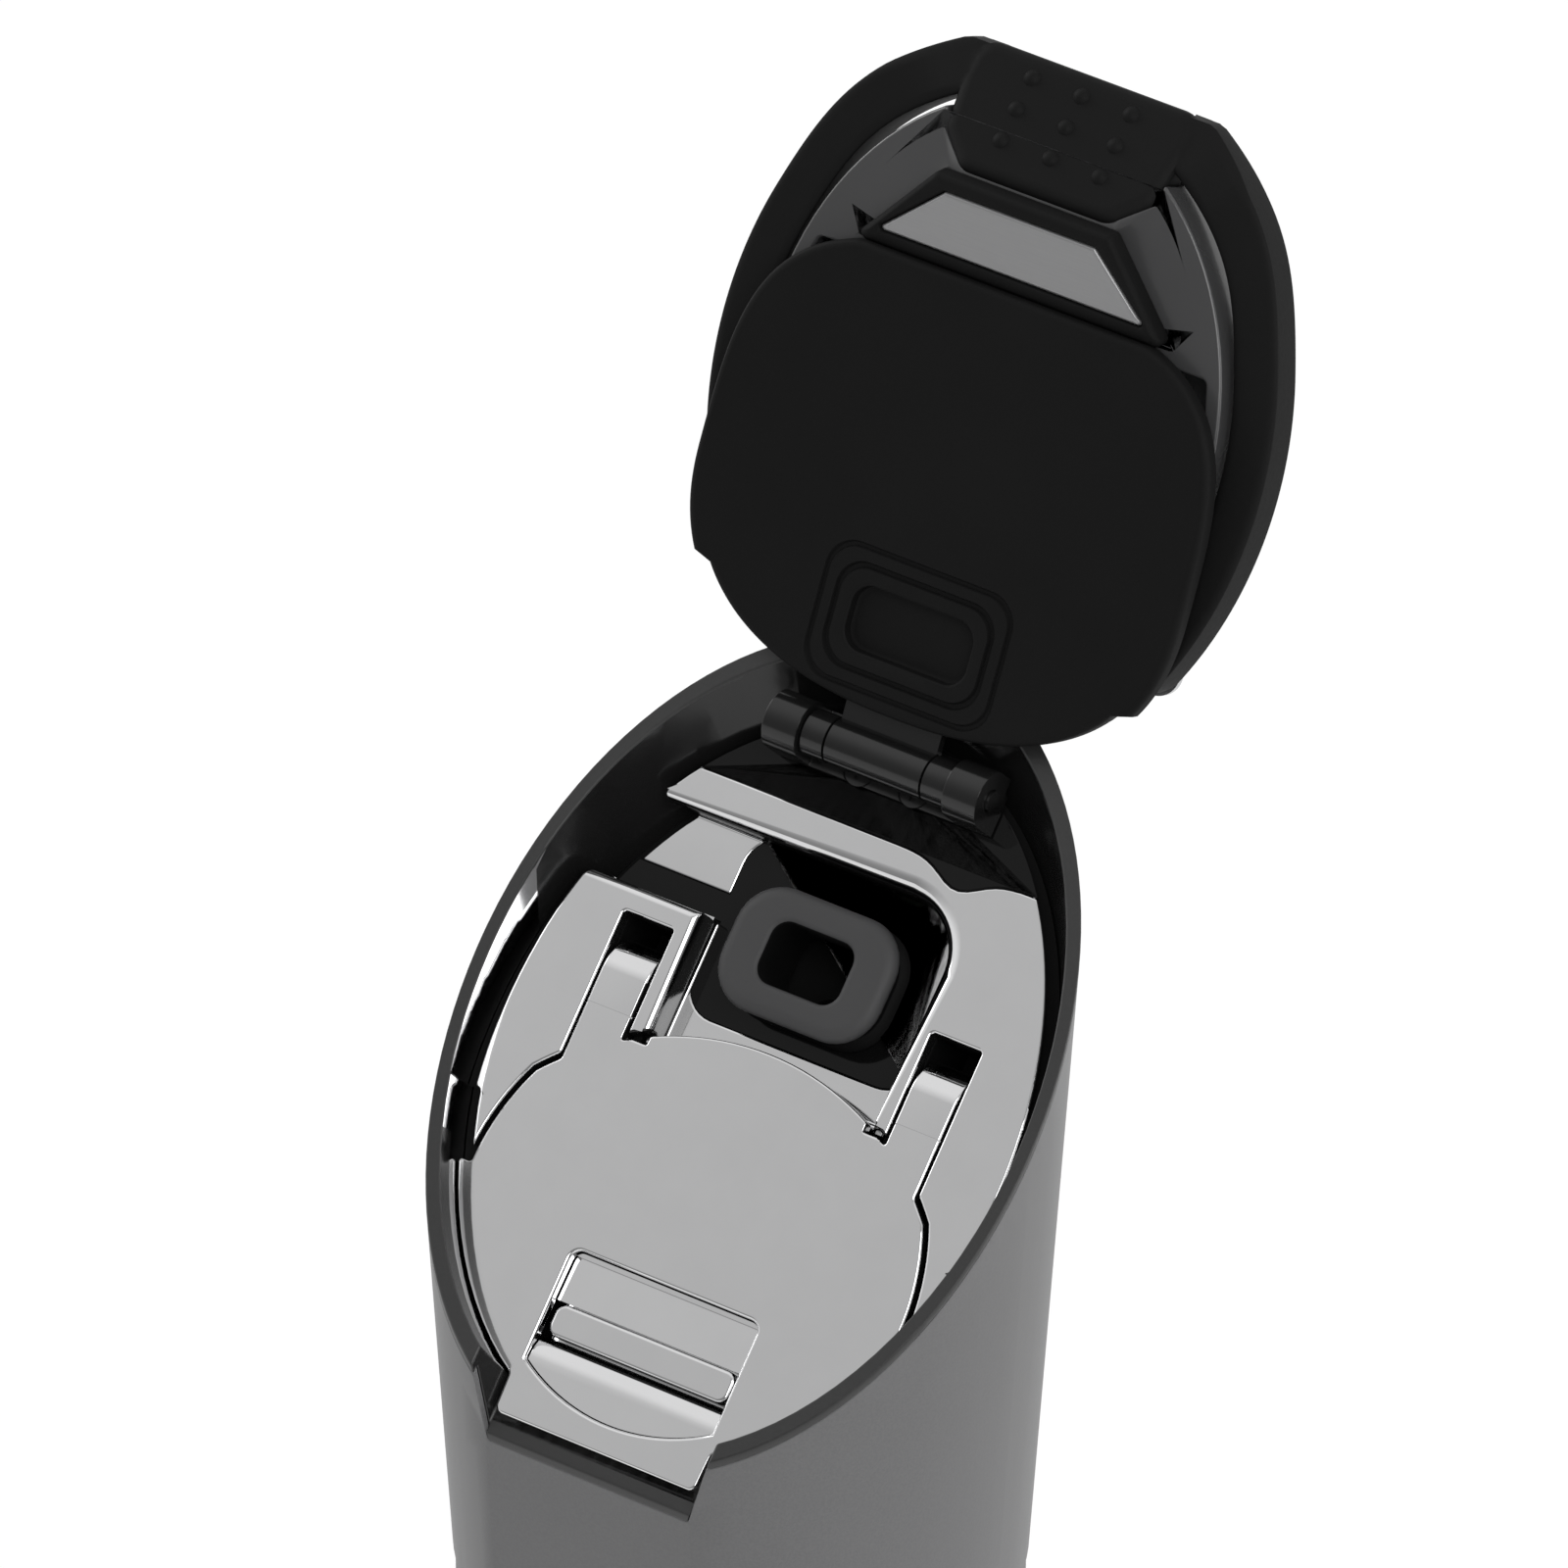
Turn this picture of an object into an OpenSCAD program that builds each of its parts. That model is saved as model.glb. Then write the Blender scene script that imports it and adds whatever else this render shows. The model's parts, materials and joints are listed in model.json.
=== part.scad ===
// Drinking bottle with a slanted flip-lid head, lid standing open.
// Origin at the middle of the foot, +Z up, the drinking side looks to -Y and the lid hinge is at +Y.
// The slanted deck has its own frame: x across, y up the slope, z along the deck's normal.
// The lid has its own frame too: x across, y from the hinge to the tip, z towards its sealing side.

/* [Bottle] */
// Step from the head's lower edge in to the bottle body
seam_step = 0.29; // [0.1:0.01:0.6]
// Height of the seam between bottle and head
seam_z = 160; // [140:1:200]
// Wall of the outer bottle shell
bottle_wall = 0.8; // [0.6:0.1:1.2]
// Width of the insulating gap between shell and liner
vacuum_gap = 1.8; // [1.2:0.1:2.4]
// Wall of the inner liner
liner_wall = 0.7; // [0.5:0.1:1.0]
// Height of the liner's floor above the foot
liner_floor = 6; // [5.5:0.5:10]
// Rounding of the bottle's lower edge
base_round = 4; // [3:0.5:6]
// Thickness of the silicone foot
foot_t = 1.5; // [1:0.1:2.5]

/* [Neck and thread] */
// How far the threaded neck is set in from the bottle's side
neck_inset = 8.5; // [8.25:0.25:9.5]
// Height of the neck above the seam
neck_h = 15; // [13:0.5:18]
// Rise of the thread in one turn
thread_pitch = 5; // [4.5:0.25:6]
// How far the thread stands out
thread_h = 1.3; // [0.8:0.1:1.4]
// Turns of thread on the neck
thread_turns = 1.6; // [1.2:0.1:1.75]
// Thickness of the neck gasket
gasket_t = 1.8; // [1.2:0.1:2.4]

/* [Head] */
// Height of the point where the rim plane crosses the bottle's axis, above the seam
rim_rise = 66; // [60:1:72]
// Outer radius of the head at that height
rim_r = 36; // [35:0.25:37]
// Growth of the head's radius for each millimetre of height
taper = 0.0562; // [0.04:0.002:0.06]
// Slope of the rim and the deck
slant = 42.4; // [40:0.2:45]
// How deep the front flat cuts into the round head
flat_depth = 2.8; // [2:0.1:3.2]
// Wall of the painted steel head shell
shell_wall = 0.7; // [0.6:0.05:0.9]
// Wall of the moulded housing inside it
housing_wall = 0.9; // [0.8:0.05:1.2]
// Thickness of the housing's lip that caps the shell
rim_lip = 0.9; // [0.6:0.1:1.4]
// Half width of the front notch at the rim
notch_top = 15.6; // [14.6:0.1:16]
// Half width of the front notch at its floor
notch_low = 13.5; // [13.2:0.1:14]

/* [Deck] */
// Depth of the deck below the rim, square to both
deck_depth = 4.7; // [4.4:0.1:5.4]
// Thickness of the plated deck
deck_t = 2; // [1.8:0.1:2.4]
// Dark gap between the deck and the housing
deck_gap = 1.7; // [1.4:0.1:2]
// Half width of the spout well
well_half = 14.6; // [13.6:0.1:14.8]
// Far edge of the spout well, up the slope
well_far = 29.6; // [28.5:0.1:30.2]
// Depth of the spout well
well_depth = 4.5; // [4.2:0.1:5]
// Near edge of the side channel, up the slope
channel_near = 19.3; // [19:0.1:21]

/* [Flap] */
// Thickness of the flap plate
flap_t = 1.6; // [1.2:0.1:1.7]
// Radius of the flap's round sides
flap_side_r = 28.2; // [27.6:0.1:28.6]
// Radius of the flap's curved back edge
flap_back_r = 34.4; // [33.8:0.1:34.8]
// Gap round the flap
flap_gap = 0.6; // [0.4:0.1:1]
// Distance of each hinge arm from the middle
arm_x = 20.25; // [20:0.05:20.5]
// Width of each hinge arm
arm_w = 5.9; // [5.2:0.1:5.9]
// Length of the arm behind the flap, up the slope
arm_end = 13.8; // [13:0.1:14.2]
// Place of the flap's hinge pin, up the slope
flap_pin_y = 6.5; // [6.2:0.1:6.8]
// Depth of the flap's hinge pin below the deck
flap_pin_drop = 3.4; // [3.2:0.1:3.5]
// Radius of the flap's hinge pins
flap_pin_r = 1.0; // [0.8:0.05:1.1]
// Radius of the drinking mouth under the flap
mouth_r = 8; // [7:0.25:8.25]
// Half width of the finger pull
pull_half = 12.3; // [11:0.1:12.4]
// Reach of the tongue into the front notch, down the slope
tongue_end = 40.6; // [40:0.1:40.8]

/* [Spout] */
// Place of the spout, up the slope
spout_y = 18.1; // [17.9:0.1:18.4]
// Width of the spout's face
spout_w = 20.6; // [19:0.1:21.4]
// Length of the spout's face, up the slope
spout_l = 14.6; // [13.4:0.1:14.8]
// Height of the spout's face above the deck
spout_rise = 1.2; // [0.6:0.1:1.3]
// Width of the sipping hole
sip_w = 10.3; // [8:0.1:11]
// Length of the sipping hole
sip_l = 7.1; // [5.6:0.1:7.2]
// Outer radius of the straw
straw_r = 3.8; // [3.6:0.05:4]
// Wall of the straw
straw_wall = 0.75; // [0.6:0.05:0.85]
// Height of the straw's lower end above the foot
straw_low = 20; // [19:0.5:30]
// Height that the straw overlaps its nipple
straw_grip = 9; // [6:0.5:9.5]

/* [Lid hinge] */
// Place of the lid hinge, up the slope
hinge_y = 42; // [41.6:0.1:42.2]
// Height of the lid hinge above the deck
hinge_n = 3.9; // [3.8:0.1:4.2]
// Radius of the lid hinge pin
hinge_pin_r = 1.2; // [1:0.05:1.3]
// Radius of the bracket's ears
ear_r = 3.4; // [3:0.1:3.4]
// Half width of the lid's knuckle
knuckle_half = 6.2; // [5.6:0.1:6.4]
// Opening angle of the lid in the modelled pose
lid_open = 160; // [150:1:160]

/* [Lid] */
// Half width of the lid seal
seal_half = 31.4; // [30:0.1:31.4]
// Thickness of the lid seal
seal_t = 2; // [1.6:0.1:2.1]
// Where the seal ends towards the lid's tip
seal_end = 54.5; // [53.5:0.1:54.6]
// Half width of the lid shell
lid_half = 28.7; // [27.8:0.1:28.8]
// Half length of the lid shell's oval
lid_long = 34.5; // [33.6:0.1:34.6]
// Height of the lid shell
lid_h = 7; // [6.5:0.1:9]
// Wall of the lid shell
lid_wall = 2; // [1.6:0.1:2.4]
// Half width of the catch plate at its long edge
catch_half = 17.4; // [16:0.1:18]

/* [Carry loop] */
// How far the loop stands out past the lid shell's sides
loop_side = 6.1; // [5.8:0.1:7]
// How far the loop stands out past the lid shell's tip
loop_tip = 7.4; // [7:0.1:8.4]
// Inner oval of the loop as a share of the outer one
loop_bore = 0.847; // [0.845:0.001:0.86]
// Height of the loop's band
loop_h = 5; // [4:0.1:6]
// Half width of the thumb tab
tab_half = 14.4; // [13:0.1:15]
// Length of the thumb tab
tab_l = 14.6; // [13.5:0.1:15.5]
// Radius of the grip bumps on the tab
bump_r = 1.2; // [0.8:0.05:1.4]

/* [Hidden] */
$fn = 96;
far = 150;
fit = 0.05;
clear = 0.3;
rim_z = seam_z + rim_rise;
bottle_r = rim_r - taper * rim_rise - seam_step;
neck_r = bottle_r - neck_inset;
head_top = rim_z + rim_rise;
head_low = seam_z + 0.6;
rim_wall = shell_wall + housing_wall;
drawn_r = 36;
k = rim_r / drawn_r;
deck_z = rim_z - k * deck_depth / cos(slant);
neck_top = seam_z + neck_h;
neck_in = neck_r - 2 * liner_wall;
liner_r = bottle_r - bottle_wall - vacuum_gap;
collar_r = neck_r + thread_h + 0.6;
collar_seat = neck_top + gasket_t + 4 * fit;
collar_t = 2;
thread_w = 1.8;
thread_tip_w = 1.1;
thread_start = seam_z + 3.2;

// Levels below and above the deck
base_top = -6;
base_low = -8;
ledge_low = -10.5;
ledge_w = 2.5;
notch_floor = -2.3;
notch_lip_n = -1.0;
notch_start = -33;
lip_front_gap = 0.8;

// Flap and its hinge
flap_side_y = -16;
flap_back_y = -27;
slot_w = arm_w + 2 * clear;
slot_far = arm_end + 2.5;
slot_near = flap_pin_y - flap_pin_drop - clear;
arm_root = -6;
arm_curl = 4.2;
arm_wall = 2.2;
block_wall = 1;
slot_low = -(flap_pin_drop + (arm_end - flap_pin_y) + 0.7);
mouth_y = -8.6;
mouth_wall = 2.6;
mouth_rise = -3.3;
pull_near = -20.6;
pull_side_l = 13.3;
pull_bow = 3.5;
pull_low = -5.2;
tongue_half = notch_low - clear;
tongue_from = 16;
flap_rim_gap = 0.4;
pocket_split = -8;

// Spout and straw
tray_wall = 1.2;
spout_neck_in = 1;
spout_head_t = 1.8;
peg_w = sip_w + 3.8;
peg_l = sip_l + 2.4;
nipple_y = k * 16.4;
block_low = base_low - 5;
nipple_r = straw_r - straw_wall - fit;
nipple_wall = 0.8;
straw_top = deck_z + k * ((spout_y - 3.2 - peg_l / 2) * sin(slant) + block_low * cos(slant)) - 0.8;
vent_x = -11.3;
vent_y = spout_y + 1.5;
vent_r = 1.2;

// Lid
lid_lean = 180 + slant - lid_open;
seal_mid = 27;
seal_back = 23.4;
seal_front = 29;
seal_step = 1.4;
seal_step_y = 14.8;
lid_screw_x = 15;
lid_screw_near = 30;
lid_screw_far = 48;
knuckle_l = 6;
tab_narrow = 9.5;
tab_shoulder = 3.6;
tab_wide_from = 10;
frame_t = 1.2;
frame_top = 0.2;
frame_low = frame_top - frame_t;
seal_top = frame_top + seal_t;
loop_mid = 41.3;
loop_half = lid_half + loop_side;
loop_long = lid_long + loop_tip;
loop_top = frame_low - 0.9;
loop_tilt = 1.2;
loop_start = 15.5;
lid_start = 13.4;
catch_tilt = 12;
catch_l = 6.9;
catch_ratio = 9.7 / 17.4;
catch_y = seal_end + 1.6;
catch_u = 1.3;
catch_rim = 1.9;
tab_y = loop_mid + lid_long - 9.8;
tab_u = 0.6;
tab_tilt = 26;
tab_t = 3.2;
rivet_y = 19;
rivet_r = 1.6;
plug_y = 14.3;
plug_w = 15.6;
plug_l = 7.4;
ear_in = 9.6;
ear_out = 14;
barrel_r = 2.7;
bracket_t = 0.8;
hinge_screw_l = 5;
deck_boss_r = 1.7;
deck_screw_r = 0.9;

function head_r(z) = rim_r + taper * (z - rim_z);
function arc(c, r, a0, a1, n = 8) =
    [for (i = [0 : n]) let (a = a0 + (a1 - a0) * i / n) c + r * [cos(a), sin(a)]];

// One turn after another of a ridge with sloped sides, buried in its wall at the root
module helix_ridge(root, tip, turns, low) {
    steps = ceil(turns * 30);
    ring = [
        [root, -thread_w / 2], [tip, -thread_tip_w / 2],
        [tip, thread_tip_w / 2], [root, thread_w / 2]
    ];
    order = tip > root ? [0, 1, 2, 3] : [3, 2, 1, 0];
    points = [
        for (i = [0 : steps])
            let (a = 360 * turns * i / steps)
                for (k = order)
                    [ring[k][0] * cos(a), ring[k][0] * sin(a), low + thread_pitch * a / 360 + ring[k][1]]
    ];
    sides = [
        for (i = [0 : steps - 1], k = [0 : 3])
            let (a = 4 * i + k, b = 4 * i + (k + 1) % 4)
                each [[a, b, b + 4], [a, b + 4, a + 4]]
    ];
    last = 4 * steps;
    caps = [[0, 3, 2], [0, 2, 1], [last, last + 1, last + 2], [last, last + 2, last + 3]];
    polyhedron(points, concat(sides, caps));
}

module rounded(w, l, r) {
    square([w - 2 * r, l], center = true);
    square([w, l - 2 * r], center = true);
    for (x = [-1, 1], y = [-1, 1])
        translate([x * (w / 2 - r), y * (l / 2 - r)])
            circle(r);
}

// Everything on the deck and the lid is drawn for a rim of drawn_r and grows with the rim
module on_deck() {
    translate([0, 0, deck_z])
        rotate([slant, 0, 0])
            scale(k)
                children();
}

module on_deck_from(low, high) {
    on_deck()
        translate([0, 0, low])
            linear_extrude(high - low)
                children();
}

module slab(low, high) {
    on_deck_from(low, high)
        square(2 * far, center = true);
}

// The head's tapered round body with its front flat, set in by a wall thickness
module head_solid(inset, low, high) {
    intersection() {
        rotate_extrude()
            polygon([[0, low], [head_r(low) - inset, low], [head_r(high) - inset, high], [0, high]]);
        translate([0, -(rim_r - k * flat_depth - inset), rim_z])
            rotate([atan(taper), 0, 0])
                translate([-far, 0, -2 * far])
                    cube([2 * far, 2 * far, 4 * far]);
    }
}

// Oval that the rim's inner edge draws on the deck, seen along the deck's normal
function oval_r(gap) = (rim_r - rim_wall - gap) / k;
function oval_back(gap) = oval_r(gap) / (1 - taper * tan(slant)) / cos(slant);
function oval_front(gap) = oval_r(gap) / (1 + taper * tan(slant)) / cos(slant);
function oval_long(gap) = (oval_back(gap) + oval_front(gap)) / 2;
oval_mid = deck_depth * tan(slant) + (oval_back(0) - oval_front(0)) / 2;

// Space inside the rim: drawn square to the deck at the front, along the head's wall at the back
module pocket(gap, low, high) {
    on_deck_from(low, high)
        intersection() {
            polygon([for (i = [48 : 96]) [oval_r(gap) * cos(i * 3.75), oval_mid + oval_long(gap) * sin(i * 3.75)]]);
            translate([-far, pocket_split - far])
                square([2 * far, far]);
        }
    intersection() {
        head_solid(rim_wall + gap, seam_z, head_top);
        on_deck_from(low, high)
            translate([-far, pocket_split - 0.1])
                square([2 * far, far]);
    }
}

module notch(floor_n, gap = 0) {
    slope = (notch_top - notch_low) / (deck_depth - notch_lip_n);
    high = deck_depth + 10;
    low_half = notch_low - gap + slope * (floor_n - notch_lip_n);
    high_half = notch_low - gap + slope * (high - notch_lip_n);
    on_deck()
        translate([0, notch_start, 0])
            rotate([90, 0, 0])
                linear_extrude(far)
                    polygon([[-low_half, floor_n], [low_half, floor_n], [high_half, high], [-high_half, high]]);
}

module bottle_shell() {
    inner = bottle_r - bottle_wall;
    low = foot_t + 0.2;
    color("dimgray")
        rotate_extrude()
            polygon(concat(
                [[inner - base_round, low]],
                arc([bottle_r - base_round, low + base_round], base_round, -90, 0),
                arc([bottle_r - 2, seam_z - 2], 2, 0, 90),
                [[neck_r + fit, seam_z], [neck_r + fit, seam_z - bottle_wall]],
                arc([inner - 1.2, seam_z - bottle_wall - 1.2], 1.2, 90, 0),
                arc([inner - base_round + bottle_wall, low + base_round], base_round - bottle_wall, 0, -90),
                [[inner - base_round, low + bottle_wall]]
            ));
}

module bottle_liner() {
    shoulder = seam_z - bottle_wall - fit;
    color("silver")
        union() {
            rotate_extrude()
                polygon(concat(
                    [[0, liner_floor]],
                    arc([liner_r - 4, liner_floor + 4], 4, -90, 0),
                    [[liner_r, shoulder - 8], [neck_r, shoulder - 1], [neck_r, neck_top],
                        [neck_in, neck_top], [neck_in, shoulder - 1.6],
                        [liner_r - liner_wall, shoulder - 8.6]],
                    arc([liner_r - 4, liner_floor + 4], 4 - liner_wall, 0, -90),
                    [[0, liner_floor + liner_wall]]
                ));
            helix_ridge(neck_r - 0.5, neck_r + thread_h, thread_turns, thread_start);
        }
}

module base_plate() {
    color("gray")
        translate([0, 0, foot_t])
            difference() {
                cylinder(r = bottle_r - bottle_wall - base_round, h = 1 + bottle_wall);
                translate([0, 0, 1])
                    cylinder(r = bottle_r - bottle_wall - base_round - 1, h = 2);
            }
}

module foot_pad() {
    color("black")
        rotate_extrude()
            polygon([[0, 0], [bottle_r - base_round - 2, 0], [bottle_r - base_round - 1.2, 0.8],
                [bottle_r - base_round - 1.2, foot_t], [0, foot_t]]);
}

module neck_gasket() {
    color("black")
        translate([0, 0, neck_top + 2 * fit])
            difference() {
                cylinder(r = collar_r - clear, h = gasket_t);
                translate([0, 0, -1])
                    cylinder(r = neck_in, h = gasket_t + 2);
            }
}

module head_shell() {
    color("gray")
        difference() {
            head_solid(0, head_low, head_top);
            head_solid(shell_wall, head_low - 1, head_top + 1);
            slab(deck_depth - rim_lip, far);
            notch(notch_lip_n - rim_lip);
        }
}

module head_housing() {
    lip_low = deck_depth - rim_lip + fit;
    color("black")
        difference() {
            union() {
                difference() {
                    union() {
                        intersection() {
                            head_solid(shell_wall + fit, head_low, head_top);
                            slab(-far, deck_depth);
                        }
                        intersection() {
                            head_solid(0, head_low, head_top);
                            slab(lip_low, deck_depth);
                        }
                    }
                    notch(notch_lip_n);
                }
                intersection() {
                    head_solid(0, head_low, head_top);
                    notch(notch_lip_n - rim_lip + fit, fit);
                    slab(-far, notch_lip_n);
                }
            }
            pocket(0, base_low - fit, far);
            pocket(ledge_w, ledge_low - 1, 0);
            intersection() {
                head_solid(rim_wall, seam_z - 1, head_top);
                slab(-far, ledge_low);
            }
            on_deck_from(notch_floor, far)
                translate([-tongue_half - clear + fit, -tongue_end - lip_front_gap])
                    square([2 * (tongue_half + clear - fit), tongue_end / 2]);
        }
}

module screw_collar() {
    color("black")
        union() {
            difference() {
                head_solid(rim_wall + fit, head_low + 0.4, collar_seat + collar_t);
                translate([0, 0, seam_z - 1])
                    cylinder(r = collar_r, h = collar_seat - seam_z + 1);
                cylinder(r = neck_in - 1, h = far * 2);
                slab(ledge_low - clear, far);
            }
            rotate([0, 0, 180])
                helix_ridge(collar_r + 0.5, collar_r - thread_h, 1, thread_start);
        }
}

// The flap's outline in the deck plane, grown by a gap
module flap_outline(gap) {
    intersection() {
        translate([0, flap_side_y])
            circle(flap_side_r + gap);
        translate([0, flap_back_y])
            circle(flap_back_r + gap);
    }
    translate([-far, flap_side_y - far])
        square([2 * far, far]);
    for (s = [-1, 1])
        translate([s * arm_x - arm_w / 2 - gap / 2, arm_root])
            square([arm_w + gap, flap_pin_y - arm_root]);
}

module slots(low) {
    for (s = [-1, 1])
        translate([s * arm_x - slot_w / 2, low])
            square([slot_w, slot_far - low]);
}

// Spout well with its channel to the left wall
module well_outline(gap) {
    half = well_half + gap;
    corner = 7 + gap;
    far_y = well_far + gap;
    near_y = 4.6 - gap;
    difference() {
        translate([-half, near_y])
            square([2 * half, far_y - near_y]);
        difference() {
            translate([half - corner, far_y - corner])
                square(2 * corner);
            translate([half - corner, far_y - corner])
                circle(corner);
        }
    }
    translate([-far, channel_near - gap])
        square([far, far_y - channel_near + gap]);
}

module peg_hole(gap) {
    translate([0, spout_y])
        rounded(peg_w + 2 * gap, peg_l + 2 * gap, 2.6);
}

module deck_screw_places() {
    for (s = [-1, 1])
        translate([s * (arm_x + slot_w / 2 + block_wall + deck_boss_r + 0.15), 8])
            children();
}

module hinge_screw_places() {
    for (s = [-1, 1])
        translate([s * 3.6, hinge_y - 1.8])
            children();
}

module deck() {
    color("lightgray")
        difference() {
            union() {
                pocket(deck_gap, -deck_t, 0);
                intersection() {
                    pocket(deck_gap, -well_depth - tray_wall, -deck_t);
                    on_deck_from(-well_depth - tray_wall, -deck_t)
                        well_outline(tray_wall);
                }
                on_deck_from(base_top + fit, -deck_t)
                    deck_screw_places()
                        circle(deck_boss_r);
            }
            on_deck_from(-flap_t - 2 * clear, far)
                flap_outline(flap_gap);
            on_deck_from(-far, far)
                slots(arm_root);
            on_deck_from(-well_depth, far)
                well_outline(0);
            on_deck_from(-far, far)
                peg_hole(0.1);
            on_deck_from(-far, far)
                translate([vent_x, vent_y])
                    circle(vent_r + fit);
            on_deck_from(-far, -deck_t + 0.5)
                deck_screw_places()
                    circle(deck_screw_r + fit);
            on_deck_from(-far, far)
                hinge_screw_places()
                    circle(1 + fit);
        }
}

module drink_base() {
    wall_x = slot_w / 2 + block_wall;
    cup_low = slot_low - 1.2;
    color("dimgray")
        difference() {
            union() {
                pocket(2 * fit, base_low, base_top);
                difference() {
                    intersection() {
                        pocket(2 * fit, base_top, -deck_t - fit);
                        on_deck_from(base_top, 0)
                            difference() {
                                square(2 * far, center = true);
                                flap_outline(flap_gap);
                                well_outline(tray_wall + 0.2);
                            }
                    }
                    pocket(4, base_top - 1, 0);
                }
                intersection() {
                    pocket(2 * fit, cup_low, -deck_t - fit);
                    on_deck_from(cup_low, -deck_t - fit)
                        for (s = [-1, 1])
                            translate([s * arm_x, (slot_near + slot_far) / 2])
                                square([2 * wall_x, slot_far - slot_near + 2.4], center = true);
                }
                on_deck_from(base_low - 2, mouth_rise)
                    translate([0, mouth_y])
                        circle(mouth_r + mouth_wall);
                on_deck_from(block_low, base_low + fit)
                    translate([0, spout_y - 1.2])
                        rounded(peg_w + 3, peg_l + 4, 3);
                translate([0, nipple_y, straw_top - straw_grip])
                    cylinder(r = nipple_r, h = straw_grip + 5);
            }
            on_deck_from(slot_low, far)
                intersection() {
                    slots(slot_near);
                    square(2 * far, center = true);
                }
            on_deck_from(-far, far)
                translate([0, mouth_y])
                    circle(mouth_r);
            on_deck_from(base_low - 1.6, far)
                peg_hole(0.1);
            translate([0, nipple_y, straw_top - straw_grip - 1])
                cylinder(r = nipple_r - nipple_wall, h = straw_grip + 10);
            on_deck_from(-far, far)
                translate([vent_x, vent_y])
                    circle(vent_r + fit);
            on_deck_from(-far, far)
                deck_screw_places()
                    circle(deck_screw_r + fit);
            on_deck_from(base_top, far)
                deck_screw_places()
                    circle(deck_boss_r + 2 * fit);
            on_deck_from(-hinge_screw_l - 0.2, far)
                hinge_screw_places()
                    circle(1 + fit);
            flap_pin_line(flap_pin_r + fit, block_wall);
        }
}

// Both flap pins, one on each side
module flap_pin_line(r, reach) {
    on_deck()
        for (s = [-1, 1])
            translate([s * arm_x, flap_pin_y, -flap_pin_drop])
                rotate([0, 90, 0])
                    cylinder(r = r, h = slot_w + 2 * reach, center = true);
}

module flap_pins() {
    color("silver")
        flap_pin_line(flap_pin_r, block_wall - 2 * fit);
}

module hinge_bracket() {
    color("black")
        difference() {
            on_deck() {
                translate([-ear_out, hinge_y - ear_r, 0])
                    cube([2 * ear_out, 2 * ear_r, bracket_t]);
                for (s = [-1, 1])
                    translate([s * (ear_in + ear_out) / 2, hinge_y, 0]) {
                        translate([0, 0, hinge_n / 2])
                            cube([ear_out - ear_in, 2 * ear_r, hinge_n], center = true);
                        translate([0, 0, hinge_n])
                            rotate([0, 90, 0])
                                cylinder(r = ear_r, h = ear_out - ear_in, center = true);
                    }
            }
            on_deck()
                translate([0, hinge_y, hinge_n])
                    rotate([0, 90, 0])
                        cylinder(r = hinge_pin_r + fit, h = 4 * ear_out, center = true);
            on_deck_from(-1, far)
                hinge_screw_places()
                    circle(1 + fit);
            on_deck_from(bracket_t - 0.6, far)
                hinge_screw_places()
                    circle(1.8 + fit);
            on_deck_from(-1, bracket_t + 0.3)
                for (s = [-1, 1])
                    translate([s * ear_out, hinge_y + ear_r])
                        rotate(45)
                            square(2.7, center = true);
        }
}

module lid_hinge_pin() {
    color("silver")
        on_deck()
            translate([0, hinge_y, hinge_n])
                rotate([0, 90, 0])
                    cylinder(r = hinge_pin_r, h = 2 * ear_out + 0.6, center = true);
}

module hinge_bushes() {
    low = knuckle_half + clear;
    high = ear_in - clear;
    color("dimgray")
        on_deck()
            for (s = [-1, 1])
                translate([s * (low + high) / 2, hinge_y, hinge_n])
                    rotate([0, 90, 0])
                        difference() {
                            cylinder(r = barrel_r, h = high - low, center = true);
                            cylinder(r = hinge_pin_r + fit, h = high, center = true);
                        }
}

module screw(head_r, head_t, shaft_r, shaft_l) {
    translate([0, 0, -head_t])
        difference() {
            cylinder(r = head_r, h = head_t);
            for (a = [0, 90])
                rotate([0, 0, a])
                    translate([-head_r * 0.6, -0.3, -0.01])
                        cube([head_r * 1.2, 0.6, head_t * 0.5]);
        }
    cylinder(r = shaft_r, h = shaft_l);
}

module hinge_screws() {
    color("silver")
        on_deck()
            translate([0, 0, bracket_t - 0.6])
                hinge_screw_places()
                    rotate([180, 0, 0])
                        screw(1.8, 0.55, 1, hinge_screw_l);
}

module deck_screws() {
    color("silver")
        on_deck()
            translate([0, 0, base_low])
                deck_screw_places()
                    screw(1.6, 1.2, deck_screw_r, -base_low - deck_t);
}

module vent_valve() {
    color("white")
        on_deck()
            translate([vent_x, vent_y, 0]) {
                translate([0, 0, base_low - 0.8])
                    cylinder(r = 2.4, h = 0.8);
                translate([0, 0, base_low - 0.4])
                    cylinder(r = vent_r, h = 0.4 - base_low - well_depth);
            }
}

// Finger pull: straight back and sides, bowed front
module pull_outline(gap) {
    half = pull_half + gap;
    side_end = pull_near - pull_side_l;
    bow_r = (half * half + pull_bow * pull_bow) / (2 * pull_bow);
    translate([-half, side_end])
        square([2 * half, pull_side_l + gap]);
    intersection() {
        translate([0, side_end - pull_bow + bow_r - gap])
            circle(bow_r);
        translate([-half, side_end - pull_bow - gap - 1])
            square([2 * half, pull_bow + gap + 1.01]);
    }
}

module flap() {
    color("lightgray")
        difference() {
            union() {
                intersection() {
                    pocket(flap_rim_gap, -flap_t, 0);
                    on_deck_from(-flap_t, 0)
                        flap_outline(0);
                }
                intersection() {
                    on_deck_from(-flap_t, 0)
                        translate([0, -(tongue_end + tongue_from) / 2])
                            rounded(2 * tongue_half, tongue_end - tongue_from, 1);
                    slab(-flap_t, 0);
                }
                flap_arms();
            }
            on_deck_from(-far, far)
                pull_outline(0);
            flap_pin_line(flap_pin_r + fit, block_wall);
            flap_relief();
        }
}

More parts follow.
